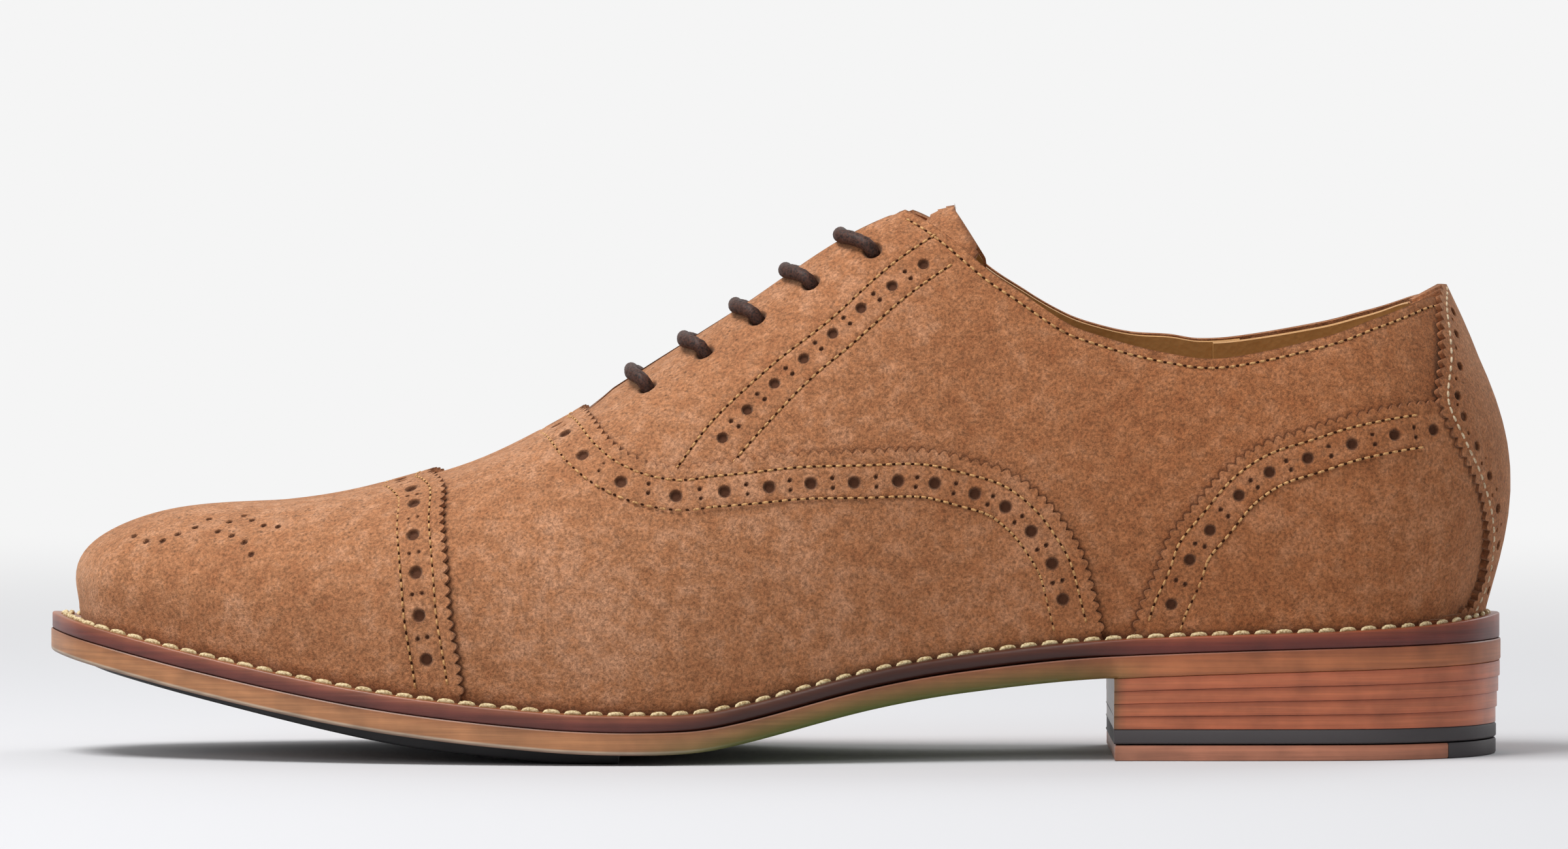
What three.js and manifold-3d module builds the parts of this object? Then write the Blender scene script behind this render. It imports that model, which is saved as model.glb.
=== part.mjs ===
// Goodyear-welted semi-brogue oxford shoe, left foot: toe to -X, heel to +X, outer side to -Y.
import * as THREE from "three";
import { mergeVertices } from "three/addons/utils/BufferGeometryUtils.js";
import Module from "manifold-3d";

const wasm = await Module();
wasm.setup();

// ---------------------------------------------------------------- driving dimensions, mm
const soleLength = 310;          // outsole, toe to heel
const soleWidth = 103;           // outsole, across the ball
const upperHeight = 90;          // crest above the seat of the last
const toeSpring = 22;            // underside of the outsole at the toe tip
const seatHeight = 17.4;         // underside of the outsole at the heel breast
const clearance = 0.3;           // between any two pieces that touch
const leather = 1.0;             // every upper and lining leather
const counterThickness = 1.2;
const outsoleThickness = 4.7;
const weltThickness = 3.2;
const insoleThickness = 3;
const sockThickness = 1.2;
const margin = 10;               // lasting margin turned in under the insole
const ribThickness = 1.8;
const seamOverlap = 8;           // how far an upper piece runs on under its neighbour
const facingGap = 8;             // between the two facings at the throat
const laceDiameter = 2.8;
const eyeletBore = laceDiameter + 1.2;
const eyeletWall = 0.6;
const eyeletFlange = 1.0;
const breastX = 71.4;            // front face of the heel
const liftCount = 4;
const rubberLayer = 2.8;
const topPieceThickness = 3.3;
const rubberProud = 2.6;         // forefoot rubber below the leather outsole
const rubberBed = 1.5;           // and let into it
const nailDiameter = 2;
const shankWidth = 14;
const shankThickness = 1.2;
const threadThickness = 0.7;
const threadWidth = 1.2;
const stitchRoom = 4.8;          // from the welt's stitches to the foot of bare quarters
const heelTaper = 1.2;           // the heel draws in from its seat to the floor
const wearRadius = 33;           // front of the rubber corner of the top piece
const treadInset = 7;            // forefoot rubber, in from the outsole's edge
const laneNear = 8;              // lace tails lie this far out from the eyelets, under the facing
const laneFar = 13;

// The outlines below are drawn at this size and graded to the dimensions above.
const drawnLength = 310;
const drawnWidth = 103;
const drawnHeight = 90;
const lastSeat = 28;             // height of the last's seat, from which heights are graded
const gradeX = (x) => x * soleLength / drawnLength;
const gradeY = (y) => y * soleWidth / drawnWidth;
const gradeZ = (z) => lastSeat + (z - lastSeat) * upperHeight / drawnHeight;

// Depth of each leather layer, measured outward from the outer face of the quarters.
const outerLayer = [clearance, clearance + leather];
const topLayer = [2 * clearance + leather, 2 * clearance + 2 * leather];
const quarterLayer = [-leather, 0];
const liningLayer = [-2 * leather - clearance, -leather - clearance];
const counterLayer = [-leather - clearance - counterThickness, -leather - clearance];
const heelLiningLayer = [counterLayer[0] - clearance - leather, counterLayer[0] - clearance];
const insoleDepth = heelLiningLayer[0] - clearance;

// ---------------------------------------------------------------- small tools
// A smooth curve through (x, y) points, returned as a function of x.
function smooth(points) {
  const slope = points.map((p, k) => {
    const a = points[Math.max(k - 1, 0)];
    const b = points[Math.min(k + 1, points.length - 1)];
    return (b[1] - a[1]) / (b[0] - a[0]);
  });
  return (x) => {
    if (x <= points[0][0]) return points[0][1];
    if (x >= points.at(-1)[0]) return points.at(-1)[1];
    const k = points.findIndex((p) => p[0] > x) - 1;
    const [x0, y0] = points[k];
    const [x1, y1] = points[k + 1];
    const h = x1 - x0;
    const s = (x - x0) / h;
    const rise = (3 - 2 * s) * s * s;
    return y0 + (y1 - y0) * rise + h * s * (1 - s) * (slope[k] * (1 - s) - slope[k + 1] * s);
  };
}

function solidOf(geometry) {
  const bare = geometry.index ? geometry : geometry.clone();
  bare.deleteAttribute("normal");
  bare.deleteAttribute("uv");
  const merged = mergeVertices(bare, 1e-4);
  return new wasm.Manifold(new wasm.Mesh({
    numProp: 3,
    vertProperties: new Float32Array(merged.attributes.position.array),
    triVerts: new Uint32Array(merged.index.array),
  }));
}

function geometryOf(solid) {
  const mesh = solid.getMesh();
  const geometry = new THREE.BufferGeometry();
  geometry.setAttribute("position", new THREE.BufferAttribute(new Float32Array(mesh.vertProperties), 3));
  geometry.setIndex(new THREE.BufferAttribute(new Uint32Array(mesh.triVerts), 1));
  geometry.computeVertexNormals();
  return geometry;
}

function indexed(vertices, faces) {
  const geometry = new THREE.BufferGeometry();
  geometry.setAttribute("position", new THREE.Float32BufferAttribute(vertices.flat(), 3));
  geometry.setIndex(faces.flat());
  return geometry;
}

// A prism seen from the side: an outline in X and Z, drawn out along Y.
function sidePrism(points, yLow, yHigh) {
  const shape = new THREE.Shape(points.map(([x, z]) => new THREE.Vector2(x, z)));
  const prism = new THREE.ExtrudeGeometry(shape, { depth: yHigh - yLow, bevelEnabled: false });
  prism.rotateX(Math.PI / 2);
  prism.translate(0, yHigh, 0);
  return solidOf(prism);
}

// A prism seen from above: an outline in X and Y, drawn out along Z.
function planPrism(points, zLow, zHigh) {
  const shape = new THREE.Shape(points.map(([x, y]) => new THREE.Vector2(x, y)));
  const prism = new THREE.ExtrudeGeometry(shape, { depth: zHigh - zLow, bevelEnabled: false });
  prism.translate(0, 0, zLow);
  return solidOf(prism);
}

// ---------------------------------------------------------------- outline of the sole
const outlineX = [-150, -140, -120, -100, -75, -45, -20, 10, 40, 70, 100, 125, 140, 150];
const outerSideY = [-14, -24, -34.5, -42, -49, -53.5, -53, -46, -38.5, -35.5, -35.5, -34, -27.5, -17];
const innerSideY = [20, 29.5, 38.5, 44.5, 49, 49.5, 43.5, 32.5, 28.2, 31, 34.5, 34, 28, 17];
const toeTip = [-155, 4];
const heelBack = [155, 0];
const onPlan = ([x, y]) => new THREE.Vector3(gradeX(x), gradeY(y), 0);
const outline = new THREE.CatmullRomCurve3([
  onPlan(toeTip),
  ...outlineX.map((x, k) => onPlan([x, outerSideY[k]])),
  onPlan(heelBack),
  ...outlineX.map((x, k) => onPlan([x, innerSideY[k]])).reverse(),
], true, "catmullrom", 0.5);

// Underside of the leather outsole, by X: toe spring, tread, waist, heel seat.
const soleLine = smooth([
  [-155, toeSpring],
  [-121, toeSpring * 0.63],
  [-86, toeSpring * 0.32],
  [-50, 3],
  [-28, 2.2],
  [-12, 3.2],
  [20, 11 * seatHeight / 17.4],
  [40, 14.4 * seatHeight / 17.4],
  [71, seatHeight],
  [155, seatHeight + 2.6],
].map(([x, z]) => [gradeX(x), z]));
const outsoleTop = (x) => soleLine(x) + outsoleThickness;
const weltLow = (x) => outsoleTop(x) + clearance;
const weltTop = (x) => weltLow(x) + weltThickness;
const featherLine = (x) => weltTop(x) + clearance + topLayer[1];

// How far the last's feather edge stands in from the edge of the sole.
const featherInset = smooth([
  [-155, 8.6],
  [-100, 8.6],
  [-60, 7],
  [-20, 6.2],
  [10, 4.8],
  [50, 4.5],
  [120, 5],
  [155, 6.4],
].map(([x, inset]) => [gradeX(x), inset]));

// A point on the plan outline, brought in by a distance square to the edge.
function planPoint(t, inset) {
  const at = outline.getPoint(t);
  const along = outline.getTangent(t);
  const outward = new THREE.Vector2(-along.y, along.x).negate();
  outward.normalize();
  const depth = typeof inset === "function" ? inset(at.x) : inset;
  return { x: at.x - outward.x * depth, y: at.y - outward.y * depth, outward };
}

// ---------------------------------------------------------------- the last: one smooth form
const stations = 22;             // along each side
const rows = 7;                  // from the feather edge to the crest
const loopLength = 2 * stations;
const ridgeToe = gradeX(-105);
const ridgeHeel = gradeX(100);
const crestLine = smooth([
  [-105, 51],
  [-90, 51.8],
  [-77, 54.2],
  [-65, 58.2],
  [-54, 62.8],
  [-43, 69.5],
  [-30, 78.5],
  [-8, 93.5],
  [13, 109],
  [25, 115.5],
  [40, 120.5],
  [60, 124.5],
  [100, 127],
].map(([x, z]) => [gradeX(x), gradeZ(z)]));
const ridgeY = smooth([[-105, 4], [-40, 3], [0, -1], [40, -2], [100, 0]]
  .map(([x, y]) => [gradeX(x), gradeY(y)]));
const sideFullness = smooth([[-150, 0.7], [-100, 0.72], [-40, 0.85], [0, 0.88], [30, 0.8],
  [60, 0.76], [100, 0.62], [150, 0.53]].map(([x, p]) => [gradeX(x), p]));
const topFullness = smooth([[-150, 0.7], [-100, 0.75], [-40, 0.88], [0, 1], [150, 1]]
  .map(([x, q]) => [gradeX(x), q]));
const swell = smooth([[-150, 1.8], [-80, 1.5], [0, 1], [60, 2], [100, 3], [150, 6.3]]
  .map(([x, b]) => [gradeX(x), b]));
const swellReach = THREE.MathUtils.degToRad(58);

// t runs round the feather edge from the toe tip, v from the feather edge (0) to the crest (1).
function lastPoint(t, v) {
  const feather = planPoint(t, featherInset);
  const mean = (outline.getPoint(t).x + outline.getPoint(1 - t).x) / 2;
  const share = (mean + soleLength / 2) / soleLength;
  const ridgeX = THREE.MathUtils.lerp(ridgeToe, ridgeHeel, share);
  const low = featherLine(feather.x);
  const turn = v * Math.PI / 2;
  const across = Math.max(Math.cos(turn), 0) ** sideFullness(mean);
  const up = Math.sin(turn) ** topFullness(mean);
  const hump = turn < swellReach ? Math.sin(Math.PI * (turn / swellReach) ** 0.68) ** 2 : 0;
  const out = swell(mean) * hump;
  return new THREE.Vector3(
    ridgeX + (feather.x - ridgeX) * across + feather.outward.x * out,
    ridgeY(ridgeX) + (feather.y - ridgeY(ridgeX)) * across + feather.outward.y * out,
    low + (crestLine(ridgeX) - low) * up,
  );
}

function sideNormal(t, v) {
  const dt = 0.002;
  const dv = 0.01;
  const vMid = Math.min(Math.max(v, dv), 1 - dv);
  const alongLoop = lastPoint((t + dt) % 1, vMid).sub(lastPoint((t - dt + 1) % 1, vMid));
  const upward = lastPoint(t, vMid + dv).sub(lastPoint(t, vMid - dv));
  return alongLoop.cross(upward).normalize();
}

function lastNormal(t, v) {
  const n = sideNormal(t, v);
  if (v > 0.999) n.add(sideNormal((1 - t) % 1, v));
  if (v < 0.001) n.z = 0;
  return n.normalize();
}

// A point a depth outside (+) or inside (-) the outer face of the quarters.
function onLast(t, v, depth) {
  return lastPoint(t, v).addScaledVector(lastNormal(t, v), depth);
}

// Finds where the outer side of the last shows the side-view place (x, z).
function findOnSide(x, z) {
  let t = THREE.MathUtils.clamp((x / soleLength + 0.5) / 2, 0.05, 0.45);
  let v = 0.7;
  const step = 1e-3;
  for (let n = 0; n < 40; n += 1) {
    const here = onLast(t, v, 0);
    const byT = onLast(t + step, v, 0).sub(here).divideScalar(step);
    const byV = onLast(t, v - step, 0).sub(here).divideScalar(-step);
    const det = byT.x * byV.z - byV.x * byT.z;
    const ex = x - here.x;
    const ez = z - here.z;
    t += THREE.MathUtils.clamp((ex * byV.z - ez * byV.x) / det, -0.03, 0.03);
    v += THREE.MathUtils.clamp((ez * byT.x - ex * byT.z) / det, -0.05, 0.05);
    v = THREE.MathUtils.clamp(v, 0.05, 0.97);
  }
  return { t, v };
}

// The last grown by a depth, as one closed solid with its bottom face grown as well.
function grownLast(depth) {
  const vertices = [];
  for (let j = 0; j < rows; j += 1) {
    for (let i = 0; i < loopLength; i += 1) {
      const p = onLast(i / loopLength, j / rows, depth);
      if (j === 0) p.z = featherLine(p.x) - depth;
      vertices.push([p.x, p.y, p.z]);
    }
  }
  const ridgeStart = vertices.length;
  for (let i = 0; i <= stations; i += 1) {
    const p = onLast(i / loopLength, 1, depth);
    vertices.push([p.x, p.y, p.z]);
  }
  const at = (i, j) => {
    const k = (i + loopLength) % loopLength;
    if (j < rows) return j * loopLength + k;
    return ridgeStart + (k <= stations ? k : loopLength - k);
  };
  const faces = [];
  for (let j = 0; j < rows; j += 1) {
    for (let i = 0; i < loopLength; i += 1) {
      faces.push([at(i, j), at(i + 1, j), at(i + 1, j + 1)], [at(i, j), at(i + 1, j + 1), at(i, j + 1)]);
    }
  }
  for (let i = 0; i < stations; i += 1) {
    faces.push([at(i, 0), at(-i, 0), at(i + 1, 0)], [at(i + 1, 0), at(-i, 0), at(-i - 1, 0)]);
  }
  const whole = faces.filter(([a, b, c]) => a !== b && b !== c && c !== a);
  return solidOf(indexed(vertices, whole));
}

// ---------------------------------------------------------------- plates of the bottom
// A plate between two heights that follow X, with its edge brought in from the sole's edge.
function plate(inset, lowAt, highAt) {
  const low = [];
  const high = [];
  for (let i = 0; i < loopLength; i += 1) {
    const p = planPoint(i / loopLength, inset);
    low.push([p.x, p.y, lowAt(p.x)]);
    high.push([p.x, p.y, highAt(p.x)]);
  }
  const faces = [];
  const wrap = (i) => (i + loopLength) % loopLength;
  for (let i = 0; i < loopLength; i += 1) {
    const a = wrap(i);
    const b = wrap(i + 1);
    faces.push([a, b, b + loopLength], [a, b + loopLength, a + loopLength]);
  }
  for (let i = 0; i < stations; i += 1) {
    const quad = [wrap(i), wrap(-i), wrap(-i - 1), wrap(i + 1)];
    faces.push([quad[0], quad[1], quad[3]], [quad[3], quad[1], quad[2]]);
    const lid = quad.map((k) => k + loopLength);
    faces.push([lid[0], lid[3], lid[1]], [lid[3], lid[2], lid[1]]);
  }
  const whole = faces.filter(([a, b, c]) => a !== b && b !== c && c !== a);
  return solidOf(indexed([...low, ...high], whole));
}

// A frame between two insets.
function ring(insetOut, insetIn, lowAt, highAt) {
  const hole = plate(insetIn, (x) => lowAt(x) - 5, (x) => highAt(x) + 5);
  return plate(insetOut, lowAt, highAt).subtract(hole);
}

const wide = soleWidth;          // half-depth of every cutting prism
const far = soleLength;          // reach of every cutting prism

const planHalf = (side, edgeY, xLow, xHigh) => planPrism([
  [xLow, edgeY(xLow)],
  ...[-60, -20, 20, 60, 100].map(gradeX).filter((x) => x > xLow && x < xHigh).map((x) => [x, edgeY(x)]),
  [xHigh, edgeY(xHigh)],
  [xHigh, side * wide],
  [xLow, side * wide],
], -far, far);

const group = new THREE.Group();

function finish(colour, roughness, metalness = 0) {
  return new THREE.MeshStandardMaterial({ color: colour, roughness, metalness });
}
const suede = finish(0x8a5a38, 0.95);
const liningLeather = finish(0xb98a4e, 0.6);
const soleLeather = finish(0xa5683c, 0.5);
const weltLeather = finish(0x4a2a20, 0.45);
const stackLeather = finish(0x5f3324, 0.45);
const blackRubber = finish(0x1c1a1a, 0.8);
const cork = finish(0x9b7a52, 0.9);
const canvas = finish(0xd8cfb8, 0.9);
const fibreboard = finish(0x8d7a60, 0.9);
const steel = finish(0x8c8f92, 0.4, 1);
const brass = finish(0xb08d4a, 0.35, 1);
const cotton = finish(0x3a241c, 0.8);
const thread = finish(0xd9c9a0, 0.8);

function add(name, shape, material) {
  const geometry = shape.isBufferGeometry ? shape : geometryOf(shape);
  const mesh = new THREE.Mesh(geometry, material);
  mesh.name = name;
  group.add(mesh);
}

// ---------------------------------------------------------------- seams and edges, seen from the side
const drawn = (points) => points.map(([x, z]) => [gradeX(x), gradeZ(z)]);
const shifted = (points, dx, dz) => points.map(([x, z]) => [x + dx, z + dz]);

const capEdge = drawn([[-70.7, 62], [-70.2, 48.8], [-68.4, 31], [-66.7, 13.7]]);
const wingEdge = drawn([[-40.6, 74.1], [-38.8, 70.9], [-32.8, 65], [-25.3, 61.8], [-13.4, 62],
  [7.1, 64.4], [31.7, 65], [41.1, 63], [49, 60], [55.8, 55.6], [60.7, 49.7], [64.2, 42.9], [68.1, 27.3]]);
const foxingEdge = drawn([[77.4, 28.2], [80.8, 40], [84.2, 46.8], [89.1, 53.7], [95, 61], [102.8, 65.9],
  [112.6, 69.3], [122.4, 72.2], [140, 74.7]]);
const strapEdge = drawn([[140.4, 96], [141, 85], [140.3, 75.2], [145.3, 65.4], [150.2, 50.8],
  [150.8, 42.9], [147.3, 31.7]]);
const topline = drawn([[25, 117], [32.6, 114.4], [43.9, 104.7], [53.8, 97.7], [61.6, 92.3], [76.4, 87.2],
  [91.1, 85], [117.5, 89.9], [139, 98.2], [150, 102]]);
const innerTopRise = 3;          // the inner side's topline stands this much higher

// Everything below an edge that runs from toe to heel.
const belowEdge = (edge, yLow, yHigh) => sidePrism([
  [-far, -far], [-far, far], [edge[0][0], far], ...edge, [far, edge.at(-1)[1]], [far, -far],
], yLow, yHigh);
// Everything ahead of an edge that runs from the crest down to the sole.
const ahead = (edge) => sidePrism([
  [-far, -far], [-far, far], [edge[0][0], far], ...edge, [edge.at(-1)[0], -far],
], -wide, wide);

const wholeUpper = belowEdge(topline, -wide, 0).add(belowEdge(shifted(topline, 0, innerTopRise), 0, wide));
const marginHole = plate((x) => featherInset(x) + margin, () => -far, () => featherLine(-far) + 6);

function layer([inner, outer]) {
  return grownLast(outer).subtract(grownLast(inner)).subtract(marginHole).intersect(wholeUpper);
}
const quarterShell = layer(quarterLayer);
const outerShell = layer(outerLayer);
const topShell = layer(topLayer);
const liningShell = layer(liningLayer);

const underWing = shifted(wingEdge, -0.75 * seamOverlap, -0.9 * seamOverlap);
const underCap = shifted(capEdge, -seamOverlap, 0);
const beforeCap = ahead(capEdge);
const beforeUnderCap = ahead(underCap);
const beforePuffEdge = ahead(shifted(underCap, -clearance, 0));

// The slot between the facings widens a little from the throat to the top.
const throatX = gradeX(-40);
const facingTopX = gradeX(60);
const facingSlot = planPrism([
  [throatX, ridgeY(throatX) - facingGap / 2],
  [facingTopX, ridgeY(facingTopX) - 0.8 * facingGap],
  [facingTopX, ridgeY(facingTopX) + 0.8 * facingGap],
  [throatX, ridgeY(throatX) + facingGap / 2],
], gradeZ(60), far);

const middle = (shift) => (x) => ridgeY(x) * (x < gradeX(100) ? 1 : 0) + shift;
const outerHalf = planHalf(-1, middle(-clearance / 2), -far, far);
const innerHalf = planHalf(1, middle(clearance / 2), -far, far);
const halves = { lateral: outerHalf, medial: innerHalf };

// ---------------------------------------------------------------- lacing
const eyeletPlaces = drawn([[-27.2, 78.5], [-14.9, 85.8], [-3.8, 92.9], [7.9, 100.4], [20.5, 107.1]])
  .map(([x, z]) => findOnSide(x, z));
const eyeletInside = liningLayer[0] - 3 * clearance;
const laceRadius = laceDiameter / 2;

// A place by the row of eyelets: k counts eyelets (fractions lie between), across is away from the ridge.
function byEyelets(side, k, across, depth) {
  const from = Math.min(Math.max(Math.floor(k), 0), eyeletPlaces.length - 2);
  const t = THREE.MathUtils.lerp(eyeletPlaces[from].t, eyeletPlaces[from + 1].t, k - from);
  const v = THREE.MathUtils.lerp(eyeletPlaces[from].v, eyeletPlaces[from + 1].v, k - from);
  const loop = side === "lateral" ? t : 1 - t;
  const step = 0.01;
  const perMm = step / lastPoint(loop, v + step / 2).distanceTo(lastPoint(loop, v - step / 2));
  const vAt = v - across * perMm;
  return vAt > 1 ? onLast(1 - loop, 2 - vAt, depth) : onLast(loop, vAt, depth);
}

function eyeletFrame(side, k) {
  const axis = byEyelets(side, k, 0, 0).sub(byEyelets(side, k, 0, -4)).normalize();
  const turn = new THREE.Quaternion().setFromUnitVectors(new THREE.Vector3(0, 0, 1), axis);
  return { at: byEyelets(side, k, 0, 0), turn };
}

function eyeletHole(side, k, radius, low, high) {
  const { at, turn } = eyeletFrame(side, k);
  const hole = new THREE.CylinderGeometry(radius, radius, high - low, 8);
  hole.rotateX(Math.PI / 2);
  hole.translate(0, 0, (low + high) / 2);
  hole.applyQuaternion(turn);
  hole.translate(at.x, at.y, at.z);
  return solidOf(hole);
}

function eyelet(side, k) {
  const { at, turn } = eyeletFrame(side, k);
  const bore = eyeletBore / 2;
  const top = liningLayer[1] - 2 * clearance;
  const under = eyeletInside;
  const profile = [
    [bore, under - 0.4],
    [bore + eyeletWall + eyeletFlange, under - 0.4],
    [bore + eyeletWall + eyeletFlange, under],
    [bore + eyeletWall, under],
    [bore + eyeletWall, top],
    [bore, top],
    [bore, under - 0.4],
  ].map(([r, z]) => new THREE.Vector2(r, z));
  const ringShape = new THREE.LatheGeometry(profile, 8);
  ringShape.rotateX(Math.PI / 2);
  ringShape.applyQuaternion(turn);
  ringShape.translate(at.x, at.y, at.z);
  return solidOf(ringShape);
}

function piercedBy(shell, side, radius) {
  return eyeletPlaces.reduce((left, place, k) => left.subtract(eyeletHole(side, k, radius, -6, 4)), shell);
}

// ---------------------------------------------------------------- upper
add("toe_cap", topShell.intersect(beforeCap), suede);
add("vamp", outerShell.intersect(ahead(wingEdge)).subtract(beforeUnderCap), suede);
const quarterCut = ahead(underWing);
const foxingArea = sidePrism([...foxingEdge, [far, foxingEdge.at(-1)[1]], [far, -far],
  [foxingEdge[0][0], -far]], -wide, wide);
const liningSeam = drawn([[-30, 90], [-30, 66], [-8, 55], [6, 13]]);
const heelSeamX = gradeX(96);
const behind = (x) => sidePrism([[x, -far], [far, -far], [far, far], [x, far]], -wide, wide);
for (const [side, half] of Object.entries(halves)) {
  const quarter = quarterShell.subtract(quarterCut).subtract(facingSlot).intersect(half);
  add(`quarter_${side}`, piercedBy(quarter, side, eyeletBore / 2), suede);
  add(`foxing_${side}`, outerShell.intersect(foxingArea).intersect(half), suede);
  const lining = liningShell.subtract(ahead(liningSeam)).subtract(facingSlot).subtract(behind(heelSeamX));
  const liningHole = eyeletBore / 2 + eyeletWall + clearance;
  add(`quarter_lining_${side}`, piercedBy(lining.intersect(half), side, liningHole), liningLeather);
}
const strapArea = sidePrism([...strapEdge, [strapEdge.at(-1)[0], -far], [far, -far],
  [far, far], [strapEdge[0][0], far]], -wide, wide);
add("back_strap", topShell.intersect(strapArea), suede);
add("vamp_lining", liningShell.intersect(ahead(shifted(liningSeam, -clearance, 0))), liningLeather);
const interlining = quarterShell.intersect(ahead(shifted(underWing, -clearance, -clearance)));
add("vamp_interlining", interlining.subtract(beforeUnderCap), canvas);
add("toe_puff", layer([quarterLayer[0], outerLayer[1]]).intersect(beforePuffEdge), fibreboard);
const counterTop = sidePrism([[-far, far], [-far, gradeZ(76)], [gradeX(98), gradeZ(72)],
  [gradeX(140), gradeZ(88)], [far, gradeZ(88)], [far, far]], -wide, wide);
const counterShell = layer(counterLayer).intersect(behind(heelSeamX + clearance));
add("heel_counter", counterShell.subtract(counterTop), fibreboard);
add("heel_lining", layer(heelLiningLayer).intersect(behind(heelSeamX - seamOverlap)), liningLeather);

// ---------------------------------------------------------------- tongue
const tongueTopFace = eyeletInside - 0.4 - clearance - 2 * laceDiameter - 2 * clearance;
const tongueDepth = smooth([
  [-44, liningLayer[0] - 1],
  [-30, tongueTopFace],
  [22, tongueTopFace],
  [34, liningLayer[0] - 1],
  [40, liningLayer[0] - 1],
].map(([x, d]) => [gradeX(x), d]));
const tongueHalfWidth = smooth([[-44, 15], [0, 25], [34, 28], [40, 24]].map(([x, w]) => [gradeX(x), w]));
const tongueFrom = gradeX(-42);
const tongueTo = gradeX(37);

// A place under the lining, half along the last's normal and half straight down, so that a panel
// there doesn't fold on itself under a narrow ridge.
function belowLining(t, v, down) {
  const at = onLast(t, v, liningLayer[0]);
  const way = at.clone().sub(onLast(t, v, liningLayer[0] - 1)).normalize();
  way.z += 1;
  return at.addScaledVector(way.normalize(), -down);
}

// A curved panel on both sides of the ridge, between two depths below the tongue's top face.
function tonguePanel(highBy, lowBy) {
  const lengthSteps = 12;
  const acrossSteps = 8;
  const vertices = [];
  for (const under of [highBy, lowBy]) {
    for (let n = 0; n <= lengthSteps; n += 1) {
      const x = THREE.MathUtils.lerp(tongueFrom, tongueTo, n / lengthSteps);
      const share = (x - ridgeToe) / (ridgeHeel - ridgeToe);
      const loop = loopAt(share);
      const vLow = vAtReach(loop, tongueHalfWidth(x));
      for (let m = 0; m <= acrossSteps; m += 1) {
        const w = 2 * m / acrossSteps - 1;
        const v = 1 - (1 - vLow) * Math.abs(w);
        const p = belowLining(w < 0 ? loop : 1 - loop, v, liningLayer[0] - tongueDepth(x) + under);
        vertices.push([p.x, p.y, p.z]);
      }
    }
  }
  const layerSize = (lengthSteps + 1) * (acrossSteps + 1);
  const at = (n, m, lower) => lower * layerSize + n * (acrossSteps + 1) + m;
  const faces = [];
  const quad = (a, b, c, d) => faces.push([a, b, c], [a, c, d]);
  for (let n = 0; n < lengthSteps; n += 1) {
    for (let m = 0; m < acrossSteps; m += 1) {
      quad(at(n, m, 0), at(n + 1, m, 0), at(n + 1, m + 1, 0), at(n, m + 1, 0));
      quad(at(n, m, 1), at(n, m + 1, 1), at(n + 1, m + 1, 1), at(n + 1, m, 1));
    }
    quad(at(n, 0, 0), at(n, 0, 1), at(n + 1, 0, 1), at(n + 1, 0, 0));
    quad(at(n, acrossSteps, 0), at(n + 1, acrossSteps, 0), at(n + 1, acrossSteps, 1), at(n, acrossSteps, 1));
  }
  for (let m = 0; m < acrossSteps; m += 1) {
    quad(at(0, m, 0), at(0, m + 1, 0), at(0, m + 1, 1), at(0, m, 1));
    quad(at(lengthSteps, m, 0), at(lengthSteps, m, 1), at(lengthSteps, m + 1, 1), at(lengthSteps, m + 1, 0));
  }
  return solidOf(indexed(vertices, faces));
}

// The loop place on the outer side whose ridge point lies at a share of the ridge.
function loopAt(share) {
  let low = 0;
  let high = 0.5;
  for (let n = 0; n < 40; n += 1) {
    const t = (low + high) / 2;
    const mean = (outline.getPoint(t).x + outline.getPoint(1 - t).x) / 2;
    if ((mean + soleLength / 2) / soleLength < share) low = t;
    else high = t;
  }
  return (low + high) / 2;
}

// The row height at which the last lies a distance from its ridge, seen from above.
function vAtReach(t, reach) {
  let low = 0.3;
  let high = 1;
  const ridge = lastPoint(t, 1);
  for (let n = 0; n < 40; n += 1) {
    const v = (low + high) / 2;
    if (Math.abs(lastPoint(t, v).y - ridge.y) > reach) low = v;
    else high = v;
  }
  return (low + high) / 2;
}
add("tongue", tonguePanel(0, leather), suede);
add("tongue_lining", tonguePanel(leather + 2 * clearance, 2 * leather + 2 * clearance), liningLeather);

// ---------------------------------------------------------------- insole, filler, shank
const underInsole = (x) => featherLine(x) - insoleDepth;
const insoleTop = (x) => underInsole(x) + insoleThickness;
const insoleInset = (x) => featherInset(x) - insoleDepth;
const ribInset = (x) => featherInset(x) + margin + clearance;
const fillerInset = (x) => ribInset(x) + ribThickness + clearance;
// The more the sole bends up to the heel, the more room its flat facets need under the rib.
const bendRoom = 0.045 * seatHeight;
const fillerLow = (x) => outsoleTop(x) + bendRoom;
const fillerTop = (x) => underInsole(x) - clearance;
const shankFrom = gradeX(-25);
const shankTo = gradeX(85);
const shankHigh = (x) => underInsole(x) - clearance;
const shankLow = (x) => shankHigh(x) - shankThickness;
// The shank lies against the insole, in a pocket of the filler that is open above.
function shank(grow) {
  const slab = plate(fillerInset, (x) => shankLow(x) - grow, (x) => shankHigh(x) + grow);
  const half = shankWidth / 2 + grow;
  const midY = gradeY(-3);
  return slab.intersect(planPrism([[shankFrom - grow, midY - half], [shankTo + grow, midY - half],
    [shankTo + grow, midY + half], [shankFrom - grow, midY + half]], -far, far));
}

// ---------------------------------------------------------------- heel
const nailPlaces = [[88, -11], [88, 11], [110, -12], [110, 12], [127, 0]]
  .map(([x, y]) => [gradeX(x), gradeY(y)]);
const heelBase = topPieceThickness + clearance + rubberLayer + clearance;
const heelInset = (level) => heelTaper * level;
const stackTop = (x) => soleLine(x) - clearance;
const stackAt = (share) => (x) => THREE.MathUtils.lerp(stackTop(x), heelBase, share);
const breast = behind(gradeX(breastX));
const lowestNailLift = liftCount - 1;

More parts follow.
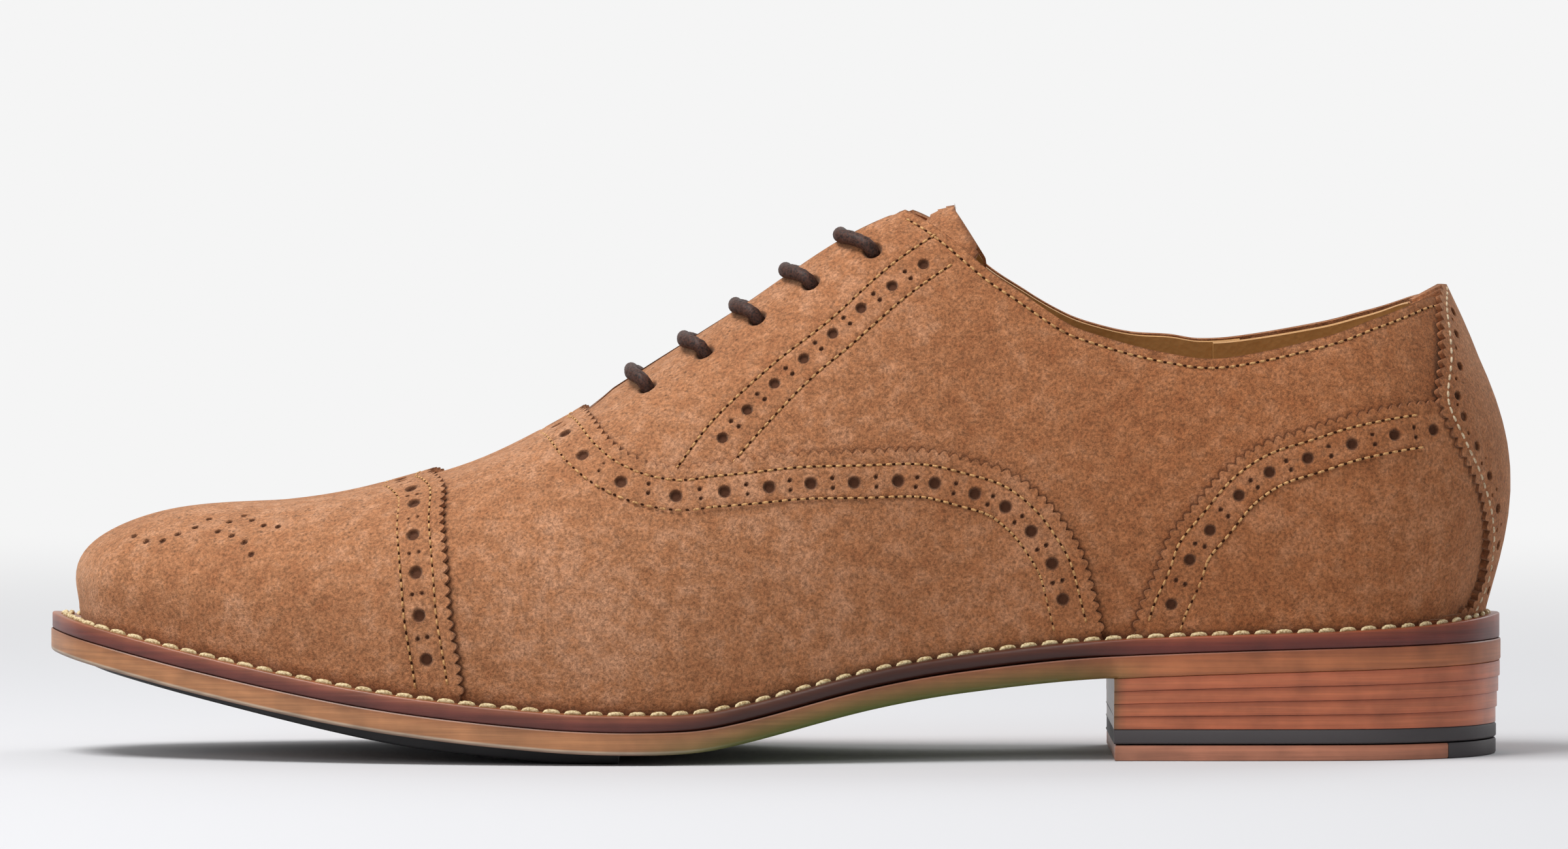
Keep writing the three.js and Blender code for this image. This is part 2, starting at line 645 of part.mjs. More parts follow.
function nail([x, y], grow, low, high) {
  const rod = new THREE.CylinderGeometry(nailDiameter / 2 + grow, nailDiameter / 2 + grow, high - low, 6);
  rod.rotateX(Math.PI / 2);
  rod.translate(x, y, (high + low) / 2);
  return solidOf(rod);
}
function nailed(solid) {
  return nailPlaces.reduce((left, place) => left.subtract(nail(place, clearance, -far, far)), solid);
}

for (let k = 0; k < liftCount; k += 1) {
  const lowAt = (x) => stackAt((k + 1) / liftCount)(x) + (k + 1 < liftCount ? clearance : 0);
  const lift = plate(heelInset(k / (liftCount + 2)), lowAt, stackAt(k / liftCount)).intersect(breast);
  add(`heel_lift_${k + 1}`, k < lowestNailLift ? nailed(lift) : lift, stackLeather);
}
const levels = (a, b) => [() => a, () => b];
add("heel_rubber", plate(heelInset(0.7), ...levels(topPieceThickness + clearance, heelBase - clearance))
  .intersect(breast), blackRubber);
const topPiece = plate(heelInset(0.9), ...levels(0, topPieceThickness)).intersect(breast);
const wearArc = (radius) => {
  const disc = new THREE.CylinderGeometry(radius, radius, 4 * topPieceThickness, 48);
  disc.rotateX(Math.PI / 2);
  disc.translate(gradeX(165), 0, 0);
  return solidOf(disc);
};
add("top_piece_leather", topPiece.subtract(wearArc(wearRadius + clearance)), stackLeather);
add("top_piece_rubber", topPiece.intersect(wearArc(wearRadius)), blackRubber);
nailPlaces.forEach((place, k) => {
  const low = stackAt(lowestNailLift / liftCount)(place[0]) + clearance;
  add(`heel_nail_${k + 1}`, nail(place, 0, low, insoleTop(place[0])), steel);
});

// ---------------------------------------------------------------- bottom
add("insole", nailed(plate(insoleInset, underInsole, insoleTop)), soleLeather);
add("insole_rib", ring(ribInset, (x) => ribInset(x) + ribThickness, fillerLow, fillerTop), canvas);
const sockInset = (x) => insoleInset(x) + 2.5;
const sockLow = (x) => insoleTop(x) + clearance;
const sock = plate(sockInset, sockLow, (x) => sockLow(x) + sockThickness);
add("heel_sock", sock.intersect(behind(gradeX(52))), liningLeather);
add("cork_filler", nailed(plate(fillerInset, fillerLow, fillerTop).subtract(shank(clearance))), cork);
add("shank", shank(0), steel);
add("welt", ring(0.2, (x) => featherInset(x) + margin, weltLow, weltTop), weltLeather);
const stitchInset = stitchRoom - topLayer[1];
const stitchLow = (x) => weltTop(x) + clearance;
const stitchHigh = (x) => stitchLow(x) + threadThickness;
add("welt_stitching", ring(stitchInset, stitchInset + threadWidth, stitchLow, stitchHigh), thread);
const treadFrom = gradeX(-143);
const treadTo = gradeX(-33);
function tread(grow) {
  const slab = plate(treadInset - grow, (x) => Math.max(soleLine(x) - rubberProud, 0) - 9 * grow,
    (x) => soleLine(x) + rubberBed + grow);
  return slab.intersect(sidePrism([[treadFrom - grow, -far], [treadTo + grow, -far],
    [treadTo + grow, far], [treadFrom - grow, far]], -wide, wide));
}
add("outsole", nailed(plate(0, soleLine, outsoleTop).subtract(tread(clearance))), soleLeather);
add("forefoot_rubber", tread(0), blackRubber);

// ---------------------------------------------------------------- eyelets and lace
for (const side of Object.keys(halves)) {
  eyeletPlaces.forEach((place, k) => add(`eyelet_${side}_${k + 1}`, eyelet(side, k), brass));
}

const laceOver = laceRadius + clearance + 0.1;                  // lace above the facings
const bend = laceRadius + 0.9;                                  // tightest bend of the lace
const laceUnder = eyeletInside - 0.4 - clearance - bend;        // lace below the eyelets

// Down through an eyelet, from the bar that crosses outside.
const through = (side, k) => [
  byEyelets(side, k, -5.2, laceOver),
  byEyelets(side, k, -2.4, laceOver + 0.6),
  byEyelets(side, k, -0.5, laceOver - 0.2),
  byEyelets(side, k, 0, -0.4),
  byEyelets(side, k, 0, -2.2),
  byEyelets(side, k, 0, eyeletInside - 0.9),
];
const ridgeOver = (k) => {
  const a = byEyelets("lateral", k, -7.6, laceOver);
  const b = byEyelets("medial", k, -7.6, laceOver);
  const mid = a.clone().add(b).multiplyScalar(0.5);
  mid.z = Math.max(mid.z, a.z) + 0.5;
  return [a, mid, b];
};
const bar = (from, k) => {
  const to = from === "lateral" ? "medial" : "lateral";
  const over = from === "lateral" ? ridgeOver(k) : ridgeOver(k).reverse();
  return [...through(from, k).reverse(), ...over, ...through(to, k)];
};
const inside = (side, from, to, across) => {
  const turnIn = 0.17 * Math.sign(to - from);
  return [
    byEyelets(side, from + turnIn, across * 0.25, laceUnder),
    byEyelets(side, from + 3 * turnIn, across, laceUnder),
    ...(Math.abs(to - from) > 1.5 ? [byEyelets(side, (from + to) / 2, across, laceUnder)] : []),
    byEyelets(side, to - 3 * turnIn, across, laceUnder),
    byEyelets(side, to - turnIn, across * 0.25, laceUnder),
  ];
};
const hairpin = 0.75;            // where the tails turn back, in eyelets
const tail = (side, from) => [
  byEyelets(side, from - 0.15, 1.6, laceUnder),
  byEyelets(side, from - 0.45, laneNear - 2, laceUnder),
  ...[3.2, 2.6, 2.0, 1.4].filter((k) => k < from - 0.6).map((k) => byEyelets(side, k, laneNear, laceUnder)),
  byEyelets(side, hairpin, laneNear, laceUnder),
  byEyelets(side, hairpin - 0.13, laneNear + 0.8, laceUnder),
  byEyelets(side, hairpin - 0.18, (laneNear + laneFar) / 2, laceUnder),
  byEyelets(side, hairpin - 0.13, laneFar - 0.8, laceUnder),
  ...[hairpin, 1.4, 2.0, 2.3].map((k) => byEyelets(side, k, laneFar, laceUnder)),
];
const besideLace = laceDiameter + 0.8;
const laceCourse = [
  ...tail("lateral", 3).reverse(),
  ...bar("lateral", 3),
  ...inside("medial", 3, 1, besideLace),
  ...bar("medial", 1),
  ...inside("lateral", 1, 0, 0),
  ...bar("lateral", 0),
  ...inside("medial", 0, 2, -besideLace),
  ...bar("medial", 2),
  ...inside("lateral", 2, 4, -besideLace),
  ...bar("lateral", 4),
  ...tail("medial", 4),
];
function cordAlong(points, radius, step) {
  const path = new THREE.CatmullRomCurve3(points, false, "centripetal");
  const section = new THREE.Shape(Array.from({ length: 6 }, (_, n) => new THREE.Vector2(
    radius * Math.cos(n * Math.PI / 3), radius * Math.sin(n * Math.PI / 3))));
  const steps = Math.round(path.getLength() / step);
  return solidOf(new THREE.ExtrudeGeometry(section, { steps, extrudePath: path, bevelEnabled: false }));
}
add("lace", cordAlong(laceCourse, laceRadius, 4.2), cotton);
Object.keys(halves).forEach((side, n) => {
  const course = [2.36, 2.8, 3.2, 3.6].map((k) => byEyelets(side, k, laneFar, laceUnder));
  add(`aglet_${n + 1}`, cordAlong(course, laceRadius + 0.1, 6), blackRubber);
});

// The origin is the middle of the footprint of the whole, on the floor.
const size = new THREE.Box3().setFromObject(group);
const centre = size.getCenter(new THREE.Vector3());
group.position.set(-centre.x, -centre.y, -size.min.z);
group.updateMatrixWorld(true);

export default group;
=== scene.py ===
# A left Goodyear-welted semi-brogue oxford in brown suede, built as it is put together:
# the last first, then the upper over it, then welt, sole and heel, then thread and lace.
import math
import bpy
import numpy as np
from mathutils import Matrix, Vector


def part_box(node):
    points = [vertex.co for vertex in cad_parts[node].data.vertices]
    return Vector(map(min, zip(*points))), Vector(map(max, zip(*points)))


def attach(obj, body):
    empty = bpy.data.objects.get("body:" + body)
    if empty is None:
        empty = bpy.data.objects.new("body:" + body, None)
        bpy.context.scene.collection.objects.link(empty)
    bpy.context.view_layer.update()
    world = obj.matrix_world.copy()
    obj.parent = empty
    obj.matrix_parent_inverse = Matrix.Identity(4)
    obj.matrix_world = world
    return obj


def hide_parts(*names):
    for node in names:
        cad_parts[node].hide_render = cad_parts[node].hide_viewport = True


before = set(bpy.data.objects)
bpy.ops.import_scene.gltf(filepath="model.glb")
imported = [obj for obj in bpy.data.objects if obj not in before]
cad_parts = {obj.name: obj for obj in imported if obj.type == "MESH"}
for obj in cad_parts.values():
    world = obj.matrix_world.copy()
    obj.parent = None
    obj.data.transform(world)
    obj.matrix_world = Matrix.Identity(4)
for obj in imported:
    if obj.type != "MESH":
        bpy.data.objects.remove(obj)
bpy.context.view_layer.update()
MM = 0.001


# ---------------------------------------------------------------- studio
# A pale seamless floor and backdrop, soft light from above and both sides, and a long lens
# set a little above the shoe.
def linear(hex_colour):
    """sRGB hex to linear RGBA."""
    parts = [int(hex_colour[k:k + 2], 16) / 255 for k in (1, 3, 5)]
    return [c / 12.92 if c <= 0.04045 else ((c + 0.055) / 1.055) ** 2.4 for c in parts] + [1.0]


def node(tree, kind, settings=None, links=None):
    """Adds one shader node with its settings, socket values and incoming links."""
    made = tree.nodes.new(kind)
    for key, value in (settings or {}).items():
        if key in made.inputs.keys():
            made.inputs[key].default_value = value
        elif isinstance(key, int):
            made.inputs[key].default_value = value
        else:
            setattr(made, key, value)
    for key, source in (links or {}).items():
        tree.links.new(source, made.inputs[key])
    return made


def new_material(name):
    """An empty node material, its tree, and the place in the piece's own frame."""
    material = bpy.data.materials.new(name)
    material.use_nodes = True
    tree = material.node_tree
    tree.nodes.clear()
    return material, tree, node(tree, "ShaderNodeTexCoord").outputs["Object"]


def noise(tree, place, scale, detail=2.0, rough=0.5):
    """Cloudy noise, scale in blobs per metre."""
    settings = {"Scale": scale, "Detail": detail, "Roughness": rough}
    return node(tree, "ShaderNodeTexNoise", settings, {"Vector": place}).outputs["Fac"]


def mapped(tree, value, from_low, from_high, to_low=0.0, to_high=1.0):
    settings = {"From Min": from_low, "From Max": from_high, "To Min": to_low, "To Max": to_high}
    return node(tree, "ShaderNodeMapRange", settings, {"Value": value}).outputs[0]


def axis_of(tree, vector, axis):
    return node(tree, "ShaderNodeSeparateXYZ", links={0: vector}).outputs[axis]


def ramp(tree, value, *stops):
    """A colour ramp through (position, sRGB hex) stops."""
    made = node(tree, "ShaderNodeValToRGB", links={"Fac": value})
    for element, (position, colour) in zip(made.color_ramp.elements, (stops[0], stops[-1])):
        element.position = position
        element.color = linear(colour)
    for position, colour in stops[1:-1]:
        made.color_ramp.elements.new(position).color = linear(colour)
    return made.outputs["Color"]


def mixed(tree, share, first, second, blend="MIX"):
    """Mixes two colours. Each of the three is a socket or a plain value."""
    inputs = {0: share, 6: first, 7: second}
    links = {key: value for key, value in inputs.items() if isinstance(value, bpy.types.NodeSocket)}
    settings = {"data_type": "RGBA", "blend_type": blend}
    settings.update((key, value) for key, value in inputs.items() if key not in links)
    return node(tree, "ShaderNodeMix", settings, links).outputs[2]


def bumped(tree, height, strength, distance):
    settings = {"Strength": strength, "Distance": distance}
    return node(tree, "ShaderNodeBump", settings, {"Height": height}).outputs["Normal"]


def surfaced(tree, settings, links):
    """The surface shader, and the material's output."""
    surface = node(tree, "ShaderNodeBsdfPrincipled", settings, links)
    node(tree, "ShaderNodeOutputMaterial", links={"Surface": surface.outputs[0]})


scene = bpy.context.scene
scene.view_settings.view_transform = "Standard"
VIEW_WIDTH = 0.3348                 # what the picture spans at the shoe's middle
LOOK_AT = Vector((0.0015, 0.0, 0.0702))
CAMERA_AWAY = 2.6
CAMERA_TILT = math.radians(1.6)
camera_data = bpy.data.cameras.new("camera")
camera_data.sensor_width = 36
camera_data.lens = 36 * CAMERA_AWAY / VIEW_WIDTH
camera = bpy.data.objects.new("camera", camera_data)
scene.collection.objects.link(camera)
camera.location = LOOK_AT + CAMERA_AWAY * Vector((0, -math.cos(CAMERA_TILT), math.sin(CAMERA_TILT)))
camera.rotation_euler = (math.pi / 2 - CAMERA_TILT, 0, 0)
scene.camera = camera

# The wall behind is lit evenly by its own lamps, so it shines a little of itself.
floor_material, tree, place = new_material("painted_floor")
rise = {"From Min": 0.15, "From Max": 1.3, "interpolation_type": "SMOOTHSTEP"}
glow = node(tree, "ShaderNodeMapRange", rise, {"Value": axis_of(tree, place, "Y")})
paint = node(tree, "ShaderNodeBsdfPrincipled", {"Base Color": linear("#c9c9cb"), "Roughness": 0.9,
                                                "Specular IOR Level": 0.1})
lit = node(tree, "ShaderNodeEmission", {"Color": linear("#f5f5f5"), "Strength": 1.0})
shaders = {0: glow.outputs[0], 1: paint.outputs[0], 2: lit.outputs[0]}
blend = node(tree, "ShaderNodeMixShader", links=shaders)
node(tree, "ShaderNodeOutputMaterial", links={"Surface": blend.outputs[0]})
FLOOR_REACH = 6.0
WALL_AT = 3.0
WALL_BEND = 1.2
sweep = [(-FLOOR_REACH, 0.0)]
for turn in np.linspace(0, math.pi / 2, 16):
    sweep.append((WALL_AT + WALL_BEND * math.sin(turn), WALL_BEND * (1 - math.cos(turn))))
sweep.append((WALL_AT + WALL_BEND, FLOOR_REACH))
floor_mesh = bpy.data.meshes.new("floor")
floor_mesh.from_pydata(
    [(side * FLOOR_REACH, y, z) for y, z in sweep for side in (-1, 1)], [],
    [(2 * k, 2 * k + 1, 2 * k + 3, 2 * k + 2) for k in range(len(sweep) - 1)])
floor_mesh.materials.append(floor_material)
floor_mesh.shade_smooth()
floor = bpy.data.objects.new("floor", floor_mesh)
scene.collection.objects.link(floor)

world = bpy.data.worlds.new("studio_air")
scene.world = world
world.use_nodes = True
world.node_tree.nodes["Background"].inputs["Color"].default_value = linear("#f5f7fa")
world.node_tree.nodes["Background"].inputs["Strength"].default_value = 0.44


def softbox(name, place, size, power, aim=(0, 0, 0.05)):
    light = bpy.data.lights.new(name, "AREA")
    light.shape = "RECTANGLE"
    light.size, light.size_y = size
    light.energy = power
    lamp = bpy.data.objects.new(name, light)
    lamp.location = place
    lamp.rotation_euler = (Vector(aim) - Vector(place)).to_track_quat("-Z", "Y").to_euler()
    scene.collection.objects.link(lamp)


softbox("overhead_softbox", (-0.5, -0.3, 1.25), (0.8, 0.6), 18)
softbox("front_softbox", (-1.0, -1.4, 0.9), (0.8, 0.8), 5.5)
softbox("rear_softbox", (0.9, 1.0, 0.9), (0.8, 0.8), 5)


# ---------------------------------------------------------------- the last
# The shoe is pulled over a last: a smooth foot form whose surface carries every leather piece.
# Places on it are (f, w): f runs toe to heel, w from the outer feather edge (-1) over the crest
# (0) to the inner feather edge (1); past these it tucks in under the foot. Sizes here are
# millimetres in the last's own frame.
SOLE_LENGTH = 310
OUTLINE_X = [-150, -140, -120, -100, -75, -45, -20, 10, 40, 70, 100, 125, 140, 150]
OUTER_Y = [-14, -24, -34.5, -42, -49, -53.5, -53, -46, -38.5, -35.5, -35.5, -34, -27.5, -17]
INNER_Y = [20, 29.5, 38.5, 44.5, 49, 49.5, 43.5, 32.5, 28.2, 31, 34.5, 34, 28, 17]
OUTLINE = np.array([(-155, 4), *zip(OUTLINE_X, OUTER_Y), (155, 0),
                    *reversed(list(zip(OUTLINE_X, INNER_Y)))], float)


def outline_at(t):
    """Point and outward direction of the sole's edge, t from the toe tip round the outer side."""
    count = len(OUTLINE)
    p = (np.asarray(t, float) % 1.0) * count
    k = np.floor(p).astype(int)
    s = (p - k)[..., None]
    a, b, c, d = (OUTLINE[(k + n) % count] for n in (-1, 0, 1, 2))
    m0, m1 = (c - a) / 2, (d - b) / 2
    at = (2 * s**3 - 3 * s**2 + 1) * b + (s**3 - 2 * s**2 + s) * m0 + (3 * s**2 - 2 * s**3) * c
    at = at + (s**3 - s**2) * m1
    along = (6 * s**2 - 6 * s) * (b - c) + (3 * s**2 - 4 * s + 1) * m0 + (3 * s**2 - 2 * s) * m1
    along /= np.linalg.norm(along, axis=-1, keepdims=True)
    return at, np.stack([along[..., 1], -along[..., 0]], -1)


def spline_through(knots, values, at):
    """A smooth (Catmull-Rom) curve through values at uneven knots."""
    low = np.maximum(np.arange(len(knots)) - 1, 0)
    high = np.minimum(np.arange(len(knots)) + 1, len(knots) - 1)
    slope = (values[high] - values[low]) / (knots[high] - knots[low])
    k = np.clip(np.searchsorted(knots, at, side="right") - 1, 0, len(knots) - 2)
    h = knots[k + 1] - knots[k]
    s = (at - knots[k]) / h
    rise = (3 - 2 * s) * s * s
    lean = h * s * (1 - s) * (slope[k] * (1 - s) - slope[k + 1] * s)
    return values[k] + (values[k + 1] - values[k]) * rise + lean


def smooth(*points):
    """A smooth curve through (x, y) points, as a function of x, level past its ends."""
    xs, ys = np.array(points, float).T
    return lambda x: spline_through(xs, ys, np.clip(x, xs[0], xs[-1]))


sole_line = smooth((-155, 22), (-121, 13.86), (-86, 7.04), (-50, 3), (-28, 2.2), (-12, 3.2),
                   (20, 11), (40, 14.4), (71, 17.4), (155, 20))
OUTSOLE = 4.7
WELT = 3.2
WELT_TOP = OUTSOLE + 0.3 + WELT       # above the sole line
FEATHER = WELT_TOP + 2.9
feather_inset = smooth((-155, 8.6), (-100, 8.6), (-60, 7), (-20, 6.2), (10, 4.8), (50, 4.5), (120, 5),
                       (155, 6.4))
crest_line = smooth((-105, 51), (-90, 51.8), (-77, 54.2), (-65, 58.2), (-54, 62.8), (-43, 69.5),
                    (-30, 78.5), (-8, 93.5), (13, 109), (25, 115.5), (40, 120.5), (60, 124.5), (100, 127))
ridge_y = smooth((-105, 4), (-40, 3), (0, -1), (40, -2), (100, 0))
side_fullness = smooth((-150, 0.7), (-100, 0.72), (-40, 0.85), (0, 0.88), (30, 0.8), (60, 0.76),
                       (100, 0.62), (150, 0.53))
top_fullness = smooth((-150, 0.7), (-100, 0.75), (-40, 0.88), (0, 1), (150, 1))
swell = smooth((-150, 1.8), (-80, 1.5), (0, 1), (60, 2), (100, 3), (150, 6.3))
SWELL_REACH = math.radians(58)
RIDGE_TOE, RIDGE_HEEL = -105, 100


def last_point(f, w):
    f, w = np.broadcast_arrays(np.asarray(f, float), np.asarray(w, float))
    t = np.where(w <= 0, f / 2, 1 - f / 2)
    edge, outward = outline_at(t)
    mean = (edge[..., 0] + outline_at(1 - t)[0][..., 0]) / 2
    foot = edge - outward * feather_inset(edge[..., 0])[..., None]
    ridge_x = RIDGE_TOE + (RIDGE_HEEL - RIDGE_TOE) * (mean / SOLE_LENGTH + 0.5)
    low = sole_line(foot[..., 0]) + FEATHER
    turn = np.clip(1 - np.abs(w), 0, 1) * math.pi / 2
    across = np.maximum(np.cos(turn), 0) ** side_fullness(mean)
    up = np.sin(turn) ** top_fullness(mean)
    hump = np.where(turn < SWELL_REACH, np.sin(math.pi * (turn / SWELL_REACH) ** 0.68) ** 2, 0)
    out = swell(mean) * hump
    x = ridge_x + (foot[..., 0] - ridge_x) * across + outward[..., 0] * out
    y = ridge_y(ridge_x) + (foot[..., 1] - ridge_y(ridge_x)) * across + outward[..., 1] * out
    tuck = np.clip(np.abs(w) - 1, 0, None) * 40
    return np.stack([x - outward[..., 0] * tuck * 0.2, y - outward[..., 1] * tuck * 0.2,
                     low + (crest_line(ridge_x) - low) * up - tuck], -1)


def last_normal(f, w):
    f, w = np.broadcast_arrays(np.asarray(f, float), np.asarray(w, float))

    def one_side(side):
        v = np.clip(1 - np.abs(w), 0.01, 0.99)
        f0, f1 = np.clip(f - 0.004, 0, 1), np.clip(f + 0.004, 0, 1)
        along = last_point(f1, side * (1 - v)) - last_point(f0, side * (1 - v))
        upward = last_point(f, side * (1 - v - 0.01)) - last_point(f, side * (1 - v + 0.01))
        n = np.cross(along, upward) * -side[..., None]
        return n / np.linalg.norm(n, axis=-1, keepdims=True)
    side = np.where(w <= 0, -1.0, 1.0)
    n, across = one_side(side), one_side(-side)
    # Near the crest, and at the toe and the heel, both sides' normals are blended.
    for off, reach in ((np.abs(w), 0.03), (np.minimum(f, 1 - f), 0.004)):
        share = np.clip(off / reach, 0, 1)[..., None] / 2 + 0.5
        n = share * n + (1 - share) * across
    return n / np.linalg.norm(n, axis=-1, keepdims=True)


# The frame's outsole shows where the last's own frame lies in the shoe's.
edge_loop = outline_at(np.linspace(0, 1, 2001))[0]
sole_low, sole_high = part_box("outsole")
SHIFT = np.array([
    (sole_low[0] + sole_high[0]) / 2 / MM - (edge_loop[:, 0].min() + edge_loop[:, 0].max()) / 2,
    (sole_low[1] + sole_high[1]) / 2 / MM - (edge_loop[:, 1].min() + edge_loop[:, 1].max()) / 2, 0.0])


def piece(name, points, faces, material, body, smooth_under=40):
    """Makes one mesh piece from millimetre points, in the shoe's frame, riding on a body."""
    mesh = bpy.data.meshes.new(name)
    mesh.from_pydata(((np.asarray(points) + SHIFT) * MM).tolist(), [],
                     faces if isinstance(faces, list) else faces.tolist())
    mesh.validate()
    mesh.materials.append(material)
    mesh.shade_smooth()
    mesh.set_sharp_from_angle(angle=math.radians(smooth_under))
    made = bpy.data.objects.new(name, mesh)
    scene.collection.objects.link(made)
    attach(made, body)
    return made


def give_values(made, values):
    """Gives a piece one number per vertex under each name, for its material to read."""
    for attribute, value in values.items():
        kept = made.data.attributes.new(attribute, "FLOAT", "POINT")
        kept.data.foreach_set("value", np.asarray(value, np.float32))


# ---------------------------------------------------------------- seams of the upper
# Each seam and edge is a smooth line on the last. It is drawn through side-view places (x, z)
# on the outer side, from the crest down, and mirrored over the crest to the inner side.
GRID_F, GRID_W = np.meshgrid(np.linspace(0, 1, 500), np.linspace(-1, 0, 260), indexing="ij")
GRID_AT = last_point(GRID_F, GRID_W)


def place_on_side(x, z):
    """The (f, w) place on the outer side that is seen at (x, z)."""
    miss = (GRID_AT[..., 0] - x) ** 2 + (GRID_AT[..., 2] - z) ** 2
    miss = miss + 1e3 * (GRID_AT[..., 1] > 12) + 0.02 * (GRID_W < -0.97)
    k = np.unravel_index(np.argmin(miss), miss.shape)
    return GRID_F[k], GRID_W[k]


def run_along(points):
    """Running length at each point of a line."""
    return np.concatenate([[0], np.cumsum(np.linalg.norm(np.diff(points, axis=0), axis=1))])


def at_run(wanted, run, values):
    """Values, given at running lengths, read at the wanted lengths."""
    return np.stack([np.interp(wanted, run, column) for column in values.T], -1)


class Seam:
    """A line on the last, as dense places, 3D points and running lengths."""

    def __init__(self, side_view, crest_x=None, sides="both"):
        places = [place_on_side(x, z) for x, z in side_view]
        if crest_x is not None:
            share = (crest_x - RIDGE_TOE) / (RIDGE_HEEL - RIDGE_TOE)
            places.insert(0, (f_of_share(share), 0.0))
        f, w = np.array(places).T
        span = run_along(last_point(f, w))
        fine = np.linspace(0, span[-1], int(span[-1] / 0.4) + 2)
        f, w = spline_through(span, f, fine), spline_through(span, w, fine)
        if sides == "both":
            f, w = np.concatenate([f[::-1], f[1:]]), np.concatenate([w[::-1], -w[1:]])
        elif sides == "medial":
            w = -w
        self.f, self.w = f, np.clip(w, -1, 1)
        self.measure()

    def measure(self):
        self.at = last_point(self.f, self.w)
        self.normal = last_normal(self.f, self.w)
        self.run = run_along(self.at)
        self.length = self.run[-1]

    def near(self, points, normals):
        """Signed distance (positive to the left of the line) and running length at each point."""
        a, b = self.at[:-1], self.at[1:]
        ab = b - a
        size = (ab**2).sum(1)
        best = np.full(len(points), 1e9)
        run = np.zeros(len(points))
        sign = np.ones(len(points))
        for start in range(0, len(points), 4000):
            p = points[start:start + 4000]
            mid_miss = ((p[:, None] - self.at[None, ::8]) ** 2).sum(-1)
            rough = mid_miss.argmin(1) * 8
            window = np.clip(rough[:, None] + np.arange(-9, 9), 0, len(ab) - 1)
            pa = p[:, None] - a[window]
            s = np.clip((pa * ab[window]).sum(-1) / size[window], 0, 1)
            off = pa - s[..., None] * ab[window]
            miss = (off**2).sum(-1)
            k = miss.argmin(1)
            row = np.arange(len(p))
            seg = window[row, k]
            best[start:start + 4000] = np.sqrt(miss[row, k])
            run[start:start + 4000] = self.run[seg] + s[row, k] * np.sqrt(size[seg])
            left = np.cross(normals[start:start + 4000], ab[seg])
            sign[start:start + 4000] = np.sign((left * off[row, k]).sum(-1) + 1e-12)
        return best * sign, run

    def places(self, pitch, start=0.0, end=0.0, aside=0.0):
        """Evenly spaced places along the line: points, normals and tangents."""
        count = max(int(round((self.length - start - end) / pitch)), 1)
        s = start + (self.length - start - end) * (np.arange(count) + 0.5) / count
        at, normal = at_run(s, self.run, self.at), at_run(s, self.run, self.normal)
        tangent = at_run(s + 0.5, self.run, self.at) - at_run(s - 0.5, self.run, self.at)
        tangent /= np.linalg.norm(tangent, axis=1, keepdims=True)
        normal /= np.linalg.norm(normal, axis=1, keepdims=True)
        left = np.cross(normal, tangent)
        return at + left * aside, normal, tangent


def f_of_share(share):
    """The loop place whose crest point lies at a share of the crest."""
    f = np.linspace(0, 1, 2001)
    mean = (outline_at(f / 2)[0][:, 0] + outline_at(1 - f / 2)[0][:, 0]) / 2
    return float(np.interp(share * SOLE_LENGTH - SOLE_LENGTH / 2, mean, f))


cap_edge = Seam([(-70.6, 56.5), (-70.2, 48.8), (-69.3, 39.9), (-68.4, 31), (-67.1, 22.1), (-66.6, 14)], -70.9)
wing_edge = Seam([(-38.8, 70.9), (-36.5, 67.9), (-32.8, 65), (-29.1, 62.9), (-25.3, 61.8), (-20, 61.2),
                  (-13.4, 62), (0.8, 63.8), (18.3, 64.7), (31.7, 65), (41.1, 63), (49, 60), (55.8, 55.6),
                  (60.7, 49.7), (64.2, 42.9), (66.6, 36), (68.3, 27.5)], -41.2)
foxing_seams = {side: Seam([(77.2, 27.5), (78.4, 34.1), (80.8, 40), (84.2, 46.8), (89.1, 53.7), (95, 61),
                            (102.8, 65.9), (112.6, 69.3), (122.4, 72.2), (132.2, 74.2), (143, 75)],
                           sides=side)
                for side in ("lateral", "medial")}


# ---------------------------------------------------------------- cutting and shaping leather
# Every leather piece is cut from the last's surface along its seams, made finer near its edges,
# punched holes and stitches, and given its thickness.
def split_long(f, w, tris, wanted):
    """Halves every edge that is longer than wanted, keeping the mesh joined."""
    edges = np.sort(np.concatenate([tris[:, [0, 1]], tris[:, [1, 2]], tris[:, [2, 0]]]), axis=1)
    edges, back = np.unique(edges, axis=0, return_inverse=True)
    back = back.reshape(3, -1).T
    at = last_point(f, w)
    middle = (at[edges[:, 0]] + at[edges[:, 1]]) / 2
    size = np.linalg.norm(at[edges[:, 0]] - at[edges[:, 1]], axis=1)
    cut = size > wanted(middle)
    new_index = np.full(len(edges), -1)
    new_index[cut] = len(f) + np.arange(cut.sum())
    f = np.concatenate([f, f[edges[cut]].mean(1)])
    w = np.concatenate([w, w[edges[cut]].mean(1)])
    m = new_index[back]
    kinds = (m >= 0).astype(int)
    made = [tris[kinds.sum(1) == 0]]
    three = kinds.sum(1) == 3
    a, b, c = tris[three].T
    ab, bc, ca = m[three].T
    made += [np.stack(k, 1) for k in ((a, ab, ca), (ab, b, bc), (ca, bc, c), (ab, bc, ca))]
    for turn in range(3):
        roll = [(k + turn) % 3 for k in range(3)]
        one = (kinds.sum(1) == 1) & (kinds[:, roll[0]] == 1)
        a, b, c = tris[one][:, roll].T
        ab = m[one, roll[0]]
        made += [np.stack((a, ab, c), 1), np.stack((ab, b, c), 1)]
        two = (kinds.sum(1) == 2) & (kinds[:, roll[2]] == 0)
        a, b, c = tris[two][:, roll].T
        ab, bc = m[two, roll[0]], m[two, roll[1]]
        made += [np.stack((ab, b, bc), 1), np.stack((a, ab, bc), 1), np.stack((a, bc, c), 1)]
    return f, w, np.concatenate(made)


